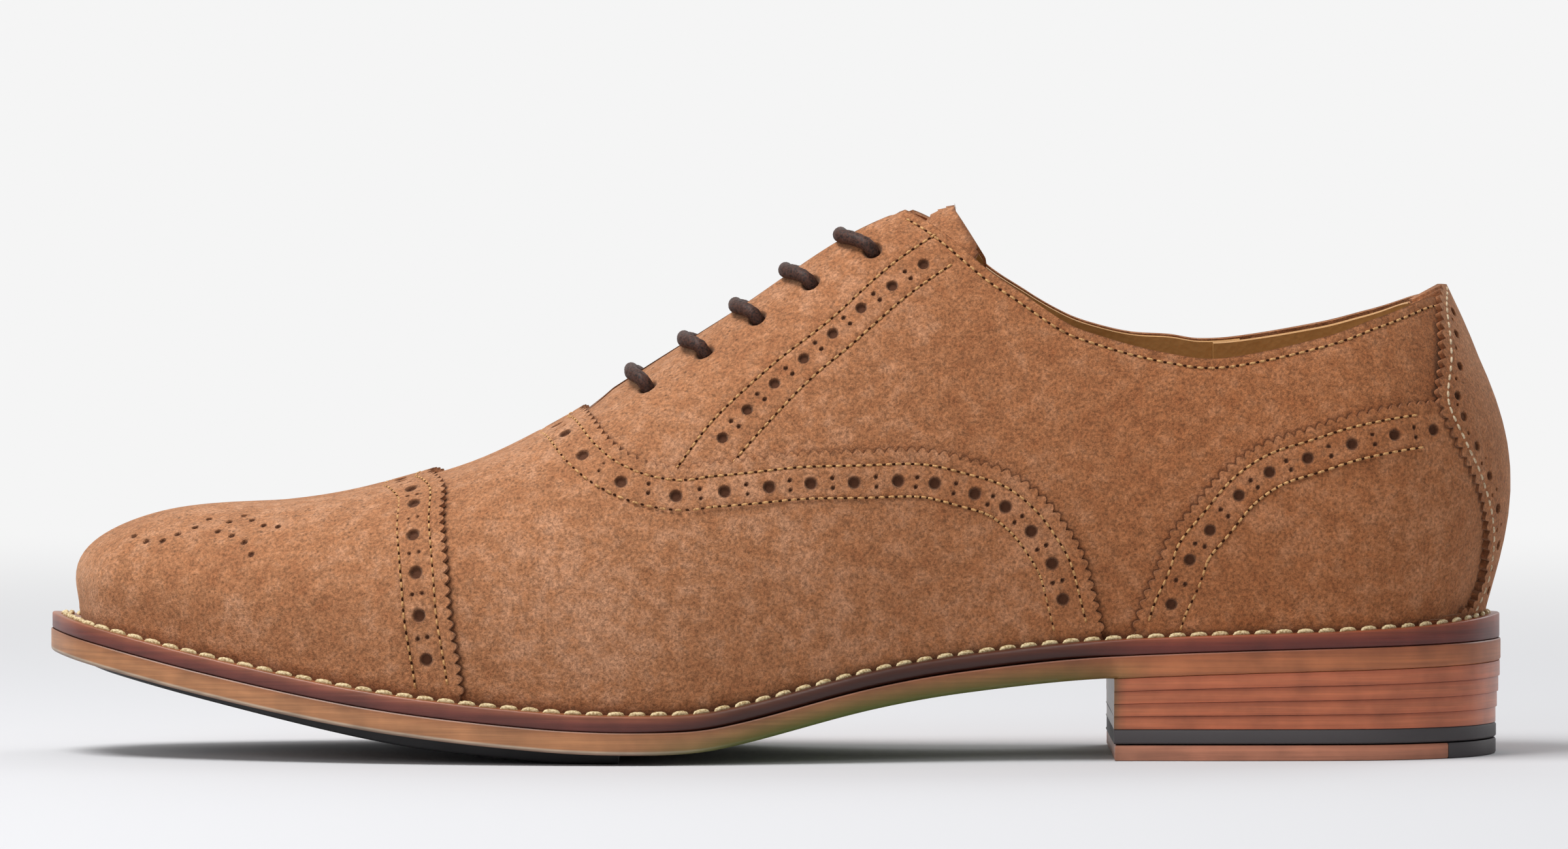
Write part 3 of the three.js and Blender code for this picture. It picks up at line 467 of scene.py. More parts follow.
def cut_off(f, w, tris, value):
    """Keeps the part of the mesh where value is below zero, with a clean edge along zero."""
    inside = value < 0
    count = inside[tris].sum(1)
    kept = [tris[count == 3]]
    mixed = tris[(count == 1) | (count == 2)]
    edges = np.sort(np.concatenate([mixed[:, [0, 1]], mixed[:, [1, 2]], mixed[:, [2, 0]]]), axis=1)
    edges = np.unique(edges[inside[edges[:, 0]] != inside[edges[:, 1]]], axis=0)
    share = value[edges[:, 0]] / (value[edges[:, 0]] - value[edges[:, 1]])
    share = np.clip(share, 0.02, 0.98)
    key = edges[:, 0] * len(f) + edges[:, 1]
    order = np.argsort(key)
    new = len(f) + np.arange(len(edges))

    def crossing(p, q):
        wanted = np.minimum(p, q) * len(value) + np.maximum(p, q)
        return new[order[np.searchsorted(key[order], wanted)]]
    f2 = np.concatenate([f, f[edges[:, 0]] * (1 - share) + f[edges[:, 1]] * share])
    w2 = np.concatenate([w, w[edges[:, 0]] * (1 - share) + w[edges[:, 1]] * share])
    for turn in range(3):
        roll = [(k + turn) % 3 for k in range(3)]
        t = mixed[:, roll]
        a, b, c = t[(inside[t] == [True, False, False]).all(1)].T
        kept.append(np.stack((a, crossing(a, b), crossing(a, c)), 1))
        a, b, c = t[(inside[t] == [False, True, True]).all(1)].T
        ab, ac = crossing(a, b), crossing(a, c)
        kept += [np.stack((ab, b, c), 1), np.stack((ab, c, ac), 1)]
    tris = np.concatenate(kept)
    used, tris = np.unique(tris, return_inverse=True)
    return f2[used], w2[used], tris.reshape(-1, 3)


def weld(points, tris, extra):
    """Joins vertices that lie on one place, as along the crest and the middle lines."""
    keys = np.round(points * 500).astype(np.int64)
    _, first, back = np.unique(keys, axis=0, return_index=True, return_inverse=True)
    tris = back.reshape(-1)[tris]
    good = (tris[:, 0] != tris[:, 1]) & (tris[:, 1] != tris[:, 2]) & (tris[:, 2] != tris[:, 0])
    return points[first], tris[good], [e[first] for e in extra]


def marked(points, reach):
    """A test that says which places lie within about a reach of any of the points."""
    cell = np.floor(points / reach).astype(np.int64)
    around = np.array([(a, b, c) for a in (-1, 0, 1) for b in (-1, 0, 1) for c in (-1, 0, 1)])
    cells = (cell[:, None] + around).reshape(-1, 3)
    code = np.unique(((cells[:, 0] + 4096) * 8192 + cells[:, 1] + 4096) * 8192 + cells[:, 2] + 4096)

    def close(at):
        c = np.floor(at / reach).astype(np.int64) + 4096
        return np.isin((c[:, 0] * 8192 + c[:, 1]) * 8192 + c[:, 2], code)
    return close


FEATHER_TUCK = 1.085                # the leather runs this far down past the feather edge
CUT_EDGE_SHADE = 0.7                      # cut edges are painted dark, as painted shade at the leather's step
EDGE_SHADE = 0.8                    # and a painted shadow darkens the leather that they lie on
FEATHER_SHADE = 0.75                # painted shade darkens the upper where it meets the welt
feather_line = np.concatenate([last_point(np.linspace(0.01, 0.99, 400), np.full(400, side))
                               for side in (-1.0, 1.0)])


def leather(name, f_span, w_span, cuts, depth, thickness, material, slot, body="shoe",
            fine=(), pits=(), grooves=(), coarse=3.0, lift=None, covers=()):
    """One leather piece: cuts are tests that are below zero where the leather is, and covers
    the same tests of the pieces laid over it, along whose edges a shadow is painted on it."""
    rows_f = max(int((f_span[1] - f_span[0]) * 370 / coarse), 6)
    rows_w = max(int((w_span[1] - w_span[0]) * 90 / coarse), 6)
    f, w = (g.ravel() for g in np.meshgrid(np.linspace(*f_span, rows_f), np.linspace(*w_span, rows_w),
                                           indexing="ij"))
    k = np.arange(rows_f * rows_w).reshape(rows_f, rows_w)
    a, b, c, d = k[:-1, :-1].ravel(), k[1:, :-1].ravel(), k[1:, 1:].ravel(), k[:-1, 1:].ravel()
    tris = np.concatenate([np.stack((a, b, c), 1), np.stack((a, c, d), 1)])
    zones = [(marked(points, reach), size) for points, reach, size in fine]
    zones += [(marked(np.array([p for p, r, h in pits]), 2.4), 0.42)] if pits else []
    zones += [(marked(feather_line, 2.6), 1.1)] if slot == "upper_suede" else []

    def wanted(at):
        size = np.full(len(at), coarse * 1.5)
        for close, finer in zones:
            size = np.where(close(at), np.minimum(size, finer), size)
        return size
    for _ in range(5):
        f, w, tris = split_long(f, w, tris, wanted)
    for cut in cuts:
        at, normal = last_point(f, w), last_normal(f, w)
        f, w, tris = cut_off(f, w, tris, cut(at, normal))
    at, normal = last_point(f, w), last_normal(f, w)
    sunk = np.zeros(len(f))
    dark = np.zeros(len(f))
    # Holes are sunk, and darkened round them: the dark is painted shade in the holes.
    for centre, radius, down in pits:
        r = np.linalg.norm(at - centre, axis=1) / radius
        sunk = np.maximum(sunk, down * np.clip((1.08 - r) / 0.3, 0, 1))
        dark = np.maximum(dark, np.clip((1.25 - r) / 0.35, 0, 1))
    for groove in grooves:
        sunk = sunk + groove(at, normal)
    # Painted shadow along the edges of the pieces laid over this one.
    for cover in covers:
        dark = np.maximum(dark, EDGE_SHADE * np.clip(1.15 - cover(at, normal) / 0.7, 0, 1))
    # Painted shade on the upper just above the welt.
    if slot == "upper_suede":
        above_welt = at[:, 2] - sole_line(at[:, 0]) - WELT_TOP
        dark = np.maximum(dark, FEATHER_SHADE * np.clip(1.2 - above_welt / 1.6, 0, 1))
    base = depth + (lift(at) if lift else 0)
    thick = thickness(at) if callable(thickness) else np.full(len(f), thickness)
    outer = at + normal * (base - sunk)[:, None]
    inner = at + normal * (base - thick)[:, None]
    outer, tris2, (inner, dark, normal) = weld(outer, tris, [inner, dark, normal])
    edges = np.concatenate([tris2[:, [0, 1]], tris2[:, [1, 2]], tris2[:, [2, 0]]])
    n = len(outer)
    both = {tuple(e) for e in edges.tolist()}
    rim = np.array([e for e in edges.tolist() if (e[1], e[0]) not in both])
    if len(rim):
        # Cut edges painted dark: painted shade at the leather's step.
        dark[rim.ravel()] = np.maximum(dark[rim.ravel()], CUT_EDGE_SHADE)
        walls = np.concatenate([np.stack((rim[:, 1], rim[:, 0], rim[:, 0] + n), 1),
                                np.stack((rim[:, 1], rim[:, 0] + n, rim[:, 1] + n), 1)])
    else:
        walls = np.zeros((0, 3), int)
    faces = np.concatenate([tris2, tris2[:, ::-1] + n, walls])
    # The (f, w) grid runs clockwise on the outer face, so every face is turned round.
    made = piece(name, np.concatenate([outer, inner]), faces[:, ::-1], material, body, 50)
    give_values(made, {"painted_shade": np.concatenate([dark, np.zeros(n)])})
    return made


# ---------------------------------------------------------------- suede
# Napped calf split, aniline dyed tan brown. The nap gives a soft bloom at grazing angles and
# mottled light and dark where the fibres lie over; high spots are rubbed a little smoother.
def suede(name, dark_side, base, light_side):
    material, tree, place = new_material(name)
    # Cloudy dye, 20 to 40 mm across; nap tufts of 2 to 4 mm; fibre bundles drawn at 0.7 mm.
    cloud = noise(tree, place, 34, 3, 0.55)
    tuft = noise(tree, place, 260, 4, 0.65)
    fibre = noise(tree, place, 1450, 3, 0.8)
    brushed = node(tree, "ShaderNodeMath", {"operation": "MULTIPLY_ADD", 1: 0.6}, {0: cloud, 2: tuft})
    nap = ramp(tree, brushed.outputs[0], (0.5, dark_side), (0.78, base), (1.0, light_side))
    grain = mapped(tree, fibre, 0.34, 0.66, 0.54, 1.44)
    # Open pores show dark where the nap is rubbed, on the upward faces.
    pore = node(tree, "ShaderNodeTexVoronoi", {"Scale": 520.0, "Randomness": 1.0}, {"Vector": place})
    facing_up = axis_of(tree, node(tree, "ShaderNodeNewGeometry").outputs["Normal"], "Z")
    dot = node(tree, "ShaderNodeMapRange", {"From Min": 0.1, "From Max": 0.24, "To Max": 1.0},
               {"Value": pore.outputs["Distance"], "To Min": mapped(tree, facing_up, 0.35, 0.85, 1.0, 0.45)})
    both = node(tree, "ShaderNodeMath", {"operation": "MULTIPLY"}, {0: grain, 1: dot.outputs[0]})
    toned = mixed(tree, 1.0, nap, both.outputs[0], "MULTIPLY")
    # Towards the heel the colour is darkened and warmed: painted shade where the nap lies away from the
    # light.
    heelward = mapped(tree, axis_of(tree, place, "X"), -0.03, 0.1, 0.0, 0.55)
    heel_shaded = mixed(tree, heelward, toned, linear("#ebcca6"), "MULTIPLY")
    # Painted shade in the punched holes, at cut edges, along the edges of laid-over pieces and above the welt
    # darkens the colour.
    shade_share = node(tree, "ShaderNodeAttribute", {"attribute_name": "painted_shade"}).outputs["Fac"]
    colour = mixed(tree, shade_share, heel_shaded, linear("#553220"))
    height = node(tree, "ShaderNodeMath", {"operation": "ADD"}, {0: tuft, 1: fibre}).outputs[0]
    surfaced(tree, {"Roughness": 0.88, "IOR": 1.45, "Specular IOR Level": 0.25,
                    "Sheen Weight": 0.3, "Sheen Roughness": 0.5, "Sheen Tint": linear("#f0cfae")},
             {"Base Color": colour, "Normal": bumped(tree, height, 0.55, 0.0006)})
    return material


brown_suede = suede("tan_brown_suede", "#925c3a", "#a46f4b", "#b58362")

# The upper's edges are gimped: cut in small even teeth.
TOOTH = 2.3                         # from tooth to tooth
TOOTH_DEPTH = 1.15


def ahead_of(seam, side=1, gimped=True, aside=0.0):
    """Leather lies on one side of a seam; a gimped edge has rounded teeth."""
    def cut(at, normal):
        off, run = seam.near(at, normal)
        teeth = TOOTH_DEPTH * np.abs(np.cos(math.pi * run / TOOTH)) if gimped else 0
        return aside - side * off - teeth
    return cut


def stitch_groove(seam, asides, side=1, down=0.22, wide=0.6):
    """Stitches pull the leather down along lines that run beside a seam."""
    def groove(at, normal):
        off, _ = seam.near(at, normal)
        return sum(down * np.exp(-((side * off - a) / wide) ** 2) for a in asides)
    return groove


def punched_row(seam, aside, big=1.3, small=0.45, pitch=9.2, start=3.0, end=3.0, pair=1.05):
    """Broguing: big holes in a row, with a pair of small ones between every two."""
    pits = []
    at, normal, tangent = seam.places(pitch, start, end, aside)
    pits += [(p, big, 0.9) for p in at]
    for k in range(len(at) - 1):
        p = (at[k] + at[k + 1]) / 2
        n = normal[k] + normal[k + 1]
        across = np.cross(n / np.linalg.norm(n), tangent[k])
        pits += [(p + across * pair, small, 0.6), (p - across * pair, small, 0.6)]
    return pits


def seam_zone(seam, asides, reach, size):
    return (np.concatenate([seam.places(0.8, aside=a)[0] for a in asides]), reach, size)


# Toe cap: a cap over the toe, punched with a row along its edge and a medallion on its top.
CAP_STITCHES = (2.2, 9.2)
cap_row = punched_row(cap_edge, 5.8)
MEDALLION = [(-137, 46.6), (-134.5, 45.8), (-130.9, 46), (-127.7, 47.1), (-124.3, 48.5),
             (-121.5, 50.1), (-119.2, 47.8), (-116.2, 47.2), (-113.3, 46), (-111.5, 43.8), (-116.9, 49.6),
             (-114, 50.8), (-112, 49.9), (-109.4, 49.2), (-106.2, 49)]
medallion = []
for x, z in MEDALLION:
    f, w = place_on_side(x + 1.5, z - 2.0)
    medallion += [(last_point(f, w), 0.62, 0.6), (last_point(f, -w), 0.62, 0.6)]
toe_cap = leather("toe_cap_suede", (0, cap_edge.f.max() + 0.02), (-FEATHER_TUCK, FEATHER_TUCK),
                  [ahead_of(cap_edge)], 2.6, 1.0, brown_suede, "upper_suede",
                  fine=[seam_zone(cap_edge, (0,), 1.6, 0.45), seam_zone(cap_edge, CAP_STITCHES, 1.4, 0.7)],
                  pits=cap_row + medallion, grooves=[stitch_groove(cap_edge, CAP_STITCHES)])
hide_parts("toe_cap")

# Vamp: one piece round the forefoot, its wings laid over the quarters.
WING_STITCHES = (2.4, 9.4)
wing_row = punched_row(wing_edge, 6.0)
vamp = leather("vamp_suede", (cap_edge.f.min() - 0.03, wing_edge.f.max() + 0.015),
               (-FEATHER_TUCK, FEATHER_TUCK), [ahead_of(wing_edge), ahead_of(cap_edge, -1, False, -8)],
               1.3, 1.0, brown_suede, "upper_suede",
               fine=[seam_zone(wing_edge, (0,), 1.6, 0.45), seam_zone(wing_edge, WING_STITCHES, 1.4, 0.7),
                     seam_zone(cap_edge, (0,), 2.2, 0.45)],
               pits=wing_row, grooves=[stitch_groove(wing_edge, WING_STITCHES)], covers=[ahead_of(cap_edge)])
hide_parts("vamp")

# Quarters: the outer and inner side, meeting the tongue at the facings.
TOPLINE_OUTER = [(24, 116), (32.6, 113.2), (43.9, 104.3), (53.8, 97.7), (61.6, 92.3), (68.6, 89.4),
                 (76.4, 87.2), (84.2, 85.8), (91.1, 85), (100, 85.8), (117.5, 89.7), (127.3, 93.3),
                 (139, 97.2), (150, 96)]
TOPLINE_INNER = [(24, 116.2), (32.6, 113.6), (43.9, 105), (53.8, 98.6), (61.6, 93.7), (68.6, 91.2),
                 (76.4, 89.6),
                 (84.2, 88.8), (91.1, 88), (100, 88.6), (117.5, 91.7), (127.3, 94.3), (139, 97.5), (150, 96)]
topline_outer = Seam(TOPLINE_OUTER, sides="lateral")
topline_inner = Seam(TOPLINE_INNER, sides="medial")
THROAT_X = -40
half_gap = smooth((THROAT_X, 4.0), (60, 6.4))


def beside_gap(side):
    def cut(at, normal):
        past = np.where(at[:, 0] > THROAT_X, half_gap(at[:, 0]), 0)
        return past - side * (at[:, 1] - ridge_y(at[:, 0]))
    return cut


def gap_line(side, aside, x_from=THROAT_X, x_to=30):
    """A line on the last that runs beside the facing's edge, from the throat up."""
    line = Seam.__new__(Seam)
    share = (np.linspace(x_from, x_to, 220) - RIDGE_TOE) / (RIDGE_HEEL - RIDGE_TOE)
    line.f = np.array([f_of_share(s) for s in share])
    line.w = np.zeros(220)
    for _ in range(14):
        at = last_point(line.f, line.w)
        miss = half_gap(at[:, 0]) + aside - side * (at[:, 1] - ridge_y(at[:, 0]))
        line.w = np.clip(line.w + side * miss / 62, -0.6, 0.6)
    line.measure()
    return line


facing_lines = {side: gap_line(side, 0) for side in (-1, 1)}
FACING_HOLES = [(-11.5, 67.4), (-5.9, 74.1), (0.4, 80.3), (6.7, 85.7), (13.1, 91.1), (19.6, 96.4),
                (26.5, 101.4), (34.3, 106.6)]
FACING_FRONT = [(-22, 60.5), (-20.2, 62.7), (-12.2, 72.7), (-0.2, 83.9), (11.9, 93.5), (23.8, 103.9),
                (35, 111.2)]
FACING_BACK = [(-11, 60.5), (-9.4, 62.7), (-4.2, 68.7), (6.2, 79.9), (16.7, 88.7), (27.9, 98.3),
               (38.5, 105.4)]
band_holes = {"lateral": Seam(FACING_HOLES, sides="lateral"), "medial": Seam(FACING_HOLES, sides="medial")}
band_stitches = {side: [Seam(FACING_FRONT, sides=side), Seam(FACING_BACK, sides=side)]
                 for side in ("lateral", "medial")}
EYELETS = [(-27.2, 78.5), (-14.9, 85.8), (-3.8, 92.9), (7.9, 100.4), (20.5, 107.1)]
eyelet_places = [place_on_side(x, z) for x, z in EYELETS]


def stitch_lines(*lines):
    """Grooves pressed by lines of stitches."""
    def groove(at, normal):
        return sum(0.25 * np.exp(-(line.near(at, normal)[0] / 0.6) ** 2) for line in lines)
    return groove


def beside(seam, side, aside=0.0):
    """Keeps the leather on one side of a plain cut edge."""
    def cut(at, normal):
        return aside - side * seam.near(at, normal)[0]
    return cut


def facing_rise(at):
    """The facings are three layers thick near the laces."""
    away = np.abs(at[:, 1] - ridge_y(at[:, 0]))
    return 1.5 * np.clip(1.25 - away / 14, 0, 1) ** 0.8 * np.clip((at[:, 0] + 42) / 8, 0, 1)


strap_edges = {side: Seam([(140.6, 101), (140.4, 95.7), (141, 85), (140.3, 75.2), (144.6, 65.4),
                           (147.4, 59.6), (148.9, 54.4), (149.6, 48), (149.4, 42.9), (148.4, 37),
                           (146, 31.3), (144.6, 27)],
                          sides=side)
               for side in ("lateral", "medial")}


def strap_side(side):
    """The strap reaches as far forward as its gimped edge on each side."""
    seam = strap_edges["lateral" if side < 0 else "medial"]
    cut = ahead_of(seam, -side)

    def on_side(at, normal):
        return np.where(side * at[:, 1] > 0, cut(at, normal), -1.0)
    return on_side


TOPLINE_STITCH = 2.0
for side_name, side, topline in (("lateral", -1, topline_outer), ("medial", 1, topline_inner)):
    holes = band_holes[side_name]
    pits = punched_row(holes, 0.0, big=1.15, small=0.45, pitch=8.4, start=-3, end=-1)
    pits += [(last_point(f, -side * w if side > 0 else w), 2.0, 0.9) for f, w in eyelet_places]
    leather(
        f"quarter_{side_name}_suede", (0.33, 1.0),
        (-FEATHER_TUCK, 0.0) if side < 0 else (0.0, FEATHER_TUCK),
        [beside(wing_edge, -1, -9), beside(topline, side), beside_gap(side)], 0.0, 1.0, brown_suede,
        "upper_suede",
        fine=[seam_zone(topline, (0,), 2.2, 0.9), seam_zone(facing_lines[side], (0,), 1.6, 0.9),
              *[seam_zone(edge, (0,), 2.2, 0.45) for edge in (wing_edge, foxing_seams[side_name])],
              *[seam_zone(line, (0,), 1.4, 0.7) for line in band_stitches[side_name]]],
        pits=pits, grooves=[stitch_lines(*band_stitches[side_name]),
                            stitch_groove(topline, (TOPLINE_STITCH,), side)],
        lift=facing_rise,
        covers=[ahead_of(wing_edge), ahead_of(foxing_seams[side_name], side), strap_side(side)])
    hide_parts(f"quarter_{side_name}")

# Foxing: the heel pieces, outer and inner side, over the quarters, with a gimped edge.
FOXING_ROW = 5.2
FOXING_STITCHES = (1.8, 8.8)
for side_name, side in (("lateral", -1), ("medial", 1)):
    seam = foxing_seams[side_name]
    pits = punched_row(seam, side * FOXING_ROW, big=1.2, small=0.45, pitch=9.3, start=2, end=2)
    heel_piece = leather(
        f"foxing_{side_name}_suede", (0.58, 1.0),
        (-FEATHER_TUCK, -0.2) if side < 0 else (0.2, FEATHER_TUCK),
        [ahead_of(seam, side)], 1.3, 1.0, brown_suede, "upper_suede",
        fine=[seam_zone(seam, (0,), 1.6, 0.45), seam_zone(strap_edges[side_name], (0,), 2.2, 0.6),
              seam_zone(seam, tuple(side * a for a in FOXING_STITCHES), 1.4, 0.7)],
        pits=pits, grooves=[stitch_groove(seam, FOXING_STITCHES, side)], covers=[strap_side(side)])
    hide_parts(f"foxing_{side_name}")

# Back strap: covers the heel seam and folds a little over the topline.
STRAP_ROW = 4.3
strap_pits = []
for side_name, side in (("lateral", -1), ("medial", 1)):
    strap_pits += punched_row(strap_edges[side_name], -side * STRAP_ROW, big=0.95, small=0.35, pitch=7.6,
                              start=5, end=6)


STRAP_TOP = smooth((134, 97.8), (139, 99.1), (142.5, 99.2), (147, 97.6), (152, 94.5))


def strap_top(at, normal):
    return at[:, 2] - STRAP_TOP(at[:, 0])


def strap_thickness(at):
    """Folded in over the edges of quarters and lining at the top."""
    return 1.4 + heel_bulge(at) + 6.0 * np.clip((at[:, 2] - STRAP_TOP(at[:, 0]) + 1.8) / 0.7, 0, 1)


BULGE = smooth((24, 0.8), (36, 1.6), (62, 1.6), (84, 0))
BULGE_HALF = 16


def heel_bulge(at):
    """The counter under the strap makes the heel's back rounder."""
    return BULGE(at[:, 2]) * np.clip(1 - (at[:, 1] / BULGE_HALF) ** 2, 0, 1)


back_strap = leather("back_strap_suede", (0.86, 1.0), (-FEATHER_TUCK, FEATHER_TUCK),
                     [strap_side(-1), strap_side(1), strap_top], 1.9, strap_thickness, brown_suede,
                     "upper_suede",
                     fine=[seam_zone(strap_edges[s], (0,), 1.6, 0.5) for s in ("lateral", "medial")],
                     pits=strap_pits, lift=heel_bulge)
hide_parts("back_strap")


# Tongue: lies under the lace tails and rises to the facings at its tip.
TONGUE_DROP = smooth((-44, 1.2), (-30, 7.8), (22, 7.8), (32, 1.0), (36, 0.3), (46, 0.3))
TONGUE_HALF = smooth((-44, 15), (0, 25), (34, 27), (41, 17))


def tongue_edge(at, normal):
    beside_ridge = np.abs(at[:, 1] - ridge_y(at[:, 0])) - TONGUE_HALF(at[:, 0])
    tip = at[:, 0] - 37.5 - 0.6 * np.clip(118.5 - at[:, 2], 0, 12)
    return np.maximum(beside_ridge, tip)


tongue = leather("tongue_suede", (f_of_share(0.318), f_of_share(0.708)), (-0.5, 0.5), [tongue_edge],
                 -2.3, 1.0, brown_suede, "upper_suede", body="tongue", coarse=2.2,
                 lift=lambda at: -TONGUE_DROP(at[:, 0]))
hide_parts("tongue")


# ---------------------------------------------------------------- lining
# Ochre calf, smooth and a little shiny where the foot has rubbed it.
def smooth_leather(name, dark, base, rough):
    material, tree, place = new_material(name)
    # Dye clouds of 20 mm; pebbled grain of 1 mm.
    colour = ramp(tree, noise(tree, place, 55, 4), (0.32, dark), (0.66, base))
    pebble = node(tree, "ShaderNodeTexVoronoi", {"Scale": 900.0}, {"Vector": place}).outputs["Distance"]
    surfaced(tree, {"Roughness": rough, "IOR": 1.5},
             {"Base Color": colour, "Normal": bumped(tree, pebble, 0.5, 0.00012)})
    return material


lining_calf = smooth_leather("ochre_lining_calf", "#a5763f", "#c08f55", 0.5)
tongue_lining = leather("tongue_lining_calf", (f_of_share(0.322), f_of_share(0.7)), (-0.5, 0.5),
                        [lambda at, normal: tongue_edge(at, normal) + 0.8],
                        -3.7, 1.0, lining_calf, "lining_leather", body="tongue", coarse=2.6,
                        lift=lambda at: -TONGUE_DROP(at[:, 0]))
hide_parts("tongue_lining")
HEEL_SEAM_X = 100.0
for side_name, side, topline in (("lateral", -1, topline_outer), ("medial", 1, topline_inner)):
    lining = leather(
        f"quarter_lining_{side_name}_calf", (0.33, 0.9),
        (-1.0, 0.0) if side < 0 else (0.0, 1.0),
        [beside(topline, side, 0.3), beside_gap(side), lambda at, normal: at[:, 0] - HEEL_SEAM_X],
        -1.3, 1.0, lining_calf, "lining_leather", fine=[seam_zone(topline, (0,), 2.2, 0.9)])
    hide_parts(f"quarter_lining_{side_name}")


def heel_lining_top(at, normal):
    outer = beside(topline_outer, -1, 0.3)(at, normal)
    inner = beside(topline_inner, 1, 0.3)(at, normal)
    return np.where(at[:, 1] < 0, outer, inner)


heel_lining = leather("heel_lining_calf", (0.68, 1.0), (-1.0, 1.0),
                      [heel_lining_top, lambda at, normal: HEEL_SEAM_X - 6 - at[:, 0]],
                      -2.45, 1.2, lining_calf, "lining_leather",
                      fine=[seam_zone(line, (0,), 2.2, 0.9) for line in (topline_outer, topline_inner)])
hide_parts("heel_lining")


# ---------------------------------------------------------------- welt and outsole
# Both follow the sole's outline. The welt is dyed dark brown and waxed; at the waist it is
# rolled round and nearly black. The outsole is 4.7 mm of bark-tanned bend leather, its edge
# waxed tan, pale and worn at its lower rim, bevelled and stained greenish under the waist.
LOOP = 640
LOOP_T = np.arange(LOOP) / LOOP
waist = smooth((-30, 0), (-6, 1), (58, 1), (71, 0.6), (80, 0))


def sole_ring(inset, z):
    """One closed loop beside the sole's edge; inset and z may change with x."""
    edge, outward = outline_at(LOOP_T)
    x = edge[:, 0]
    inset = inset(x) if callable(inset) else inset
    at = edge - outward * np.broadcast_to(inset, x.shape)[:, None]
    return np.column_stack([at, z(at[:, 0])])


def walls(count, levels, closed=False):
    """Faces between equal loops of count points, in levels; closed joins the last to the first."""
    faces = []
    for level in range(levels if closed else levels - 1):
        a = level * count + np.arange(count)
        b = (level + 1) % levels * count + np.arange(count)
        faces += np.stack([a, np.roll(a, -1), np.roll(b, -1), b], 1).tolist()
    return faces


def end_caps(count, levels):
    return [list(range(count))[::-1], list(range((levels - 1) * count, levels * count))]


def above(height, lift=None):
    return lambda x: sole_line(x) + height + (lift(x) if lift else 0)


def edge_leather(name, colours, stain, rough):
    """A cut and waxed leather edge: fibre layers run along it; 'level' runs 0 low to 1 high."""
    material, tree, place = new_material(name)
    level, stained = (node(tree, "ShaderNodeAttribute", {"attribute_name": kind}).outputs["Fac"]
                      for kind in ("level", "stained"))
    # Fibre layers 0.5 mm apart, drawn out 40 times along the edge.
    stretch = node(tree, "ShaderNodeMapping", {"Scale": (30.0, 30.0, 1500.0)}, {"Vector": place}).outputs[0]
    both = node(tree, "ShaderNodeMath", {"operation": "ADD"},
                {0: noise(tree, stretch, 1, 3, 0.6), 1: noise(tree, place, 130, 3)}).outputs[0]
    shade = mapped(tree, both, 0.75, 1.25, 0.72, 1.16)
    toned = mixed(tree, 1.0, ramp(tree, level, *colours), shade, "MULTIPLY")
    colour = mixed(tree, stained, toned, linear(stain))
    # Polished redder towards the heel.
    heelward = mapped(tree, axis_of(tree, place, "X"), 0.0, 0.09)
    polished = mixed(tree, heelward, colour, linear("#fbdcd2"), "MULTIPLY")
    surfaced(tree, {"Roughness": rough, "IOR": 1.5},
             {"Base Color": polished, "Normal": bumped(tree, both, 0.5, 0.00015)})
    return material


welt_dye = edge_leather("dark_waxed_welt", [(0.0, "#3a1a14"), (0.2, "#582620"), (0.5, "#6e362b"),
                        (0.72, "#8d5038"), (1.0, "#8f5535")], "#341a12", 0.4)
roll = smooth((-30, 0.45), (-6, 1.3), (60, 1.3), (75, 0.45))
welt_low, welt_high = OUTSOLE + 0.05, WELT_TOP
back_rise = smooth((118, 0), (140, 0.7), (155, 2.0))
turns = np.linspace(0, math.pi / 2, 5)
rings = []
rings.append(sole_ring(12.0, above(welt_low)))
for turn in turns:
    rings.append(sole_ring(lambda x: 0.25 + roll(x) * (1 - math.sin(turn)),
                           above(welt_low, lambda x: roll(x) * (1 - math.cos(turn)))))
for turn in turns[::-1]:
    rings.append(sole_ring(lambda x: 0.25 + roll(x) * (1 - math.sin(turn)),
                           above(welt_high, lambda x: back_rise(x) - roll(x) * (1 - math.cos(turn)))))
rings.append(sole_ring(3.6, above(welt_high, back_rise)))
rings.append(sole_ring(12.0, above(welt_high, back_rise)))
level = np.concatenate([np.full(LOOP, v) for v in (0, 0, 0, 0.1, 0.2, 0.3, 0.7, 0.8, 0.9, 1, 1, 1, 1)])
stained = np.tile(waist(sole_ring(0, sole_line)[:, 0]) * 0.8, len(rings))
welt = piece("welt_leather_ring", np.concatenate(rings), walls(LOOP, len(rings), True), welt_dye, "shoe",
             60)
give_values(welt, {"level": level, "stained": stained})
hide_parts("welt")

sole_edge = edge_leather("waxed_sole_edge", [(0.0, "#7a5a48"), (0.13, "#b9a38c"), (0.2, "#a8724a"),
                                            (0.6, "#b27a50"), (0.93, "#9c6540"), (1.0, "#6f4630")],
                         "#5f6a2c", 0.45)
bevel = smooth((-26, 0.0), (-4, 1.0), (60, 1.0), (70, 0.9))
on_heel = smooth((70.6, 0.0), (71.4, 1.0))
sole_profile = [(0.35, 0.0), (0.12, 0.18), (0.0, 0.5), (0.0, 0.75), (0.0, OUTSOLE - 0.25), (0.2, OUTSOLE)]
rings = []
for inset, height in sole_profile:
    share = max(1 - height / 3.4, 0)
    cut = share * 3.6
    rings.append(sole_ring(lambda x: inset + cut * bevel(x) * (1 - on_heel(x)), above(height)))
at_edge = sole_ring(0, sole_line)[:, 0]
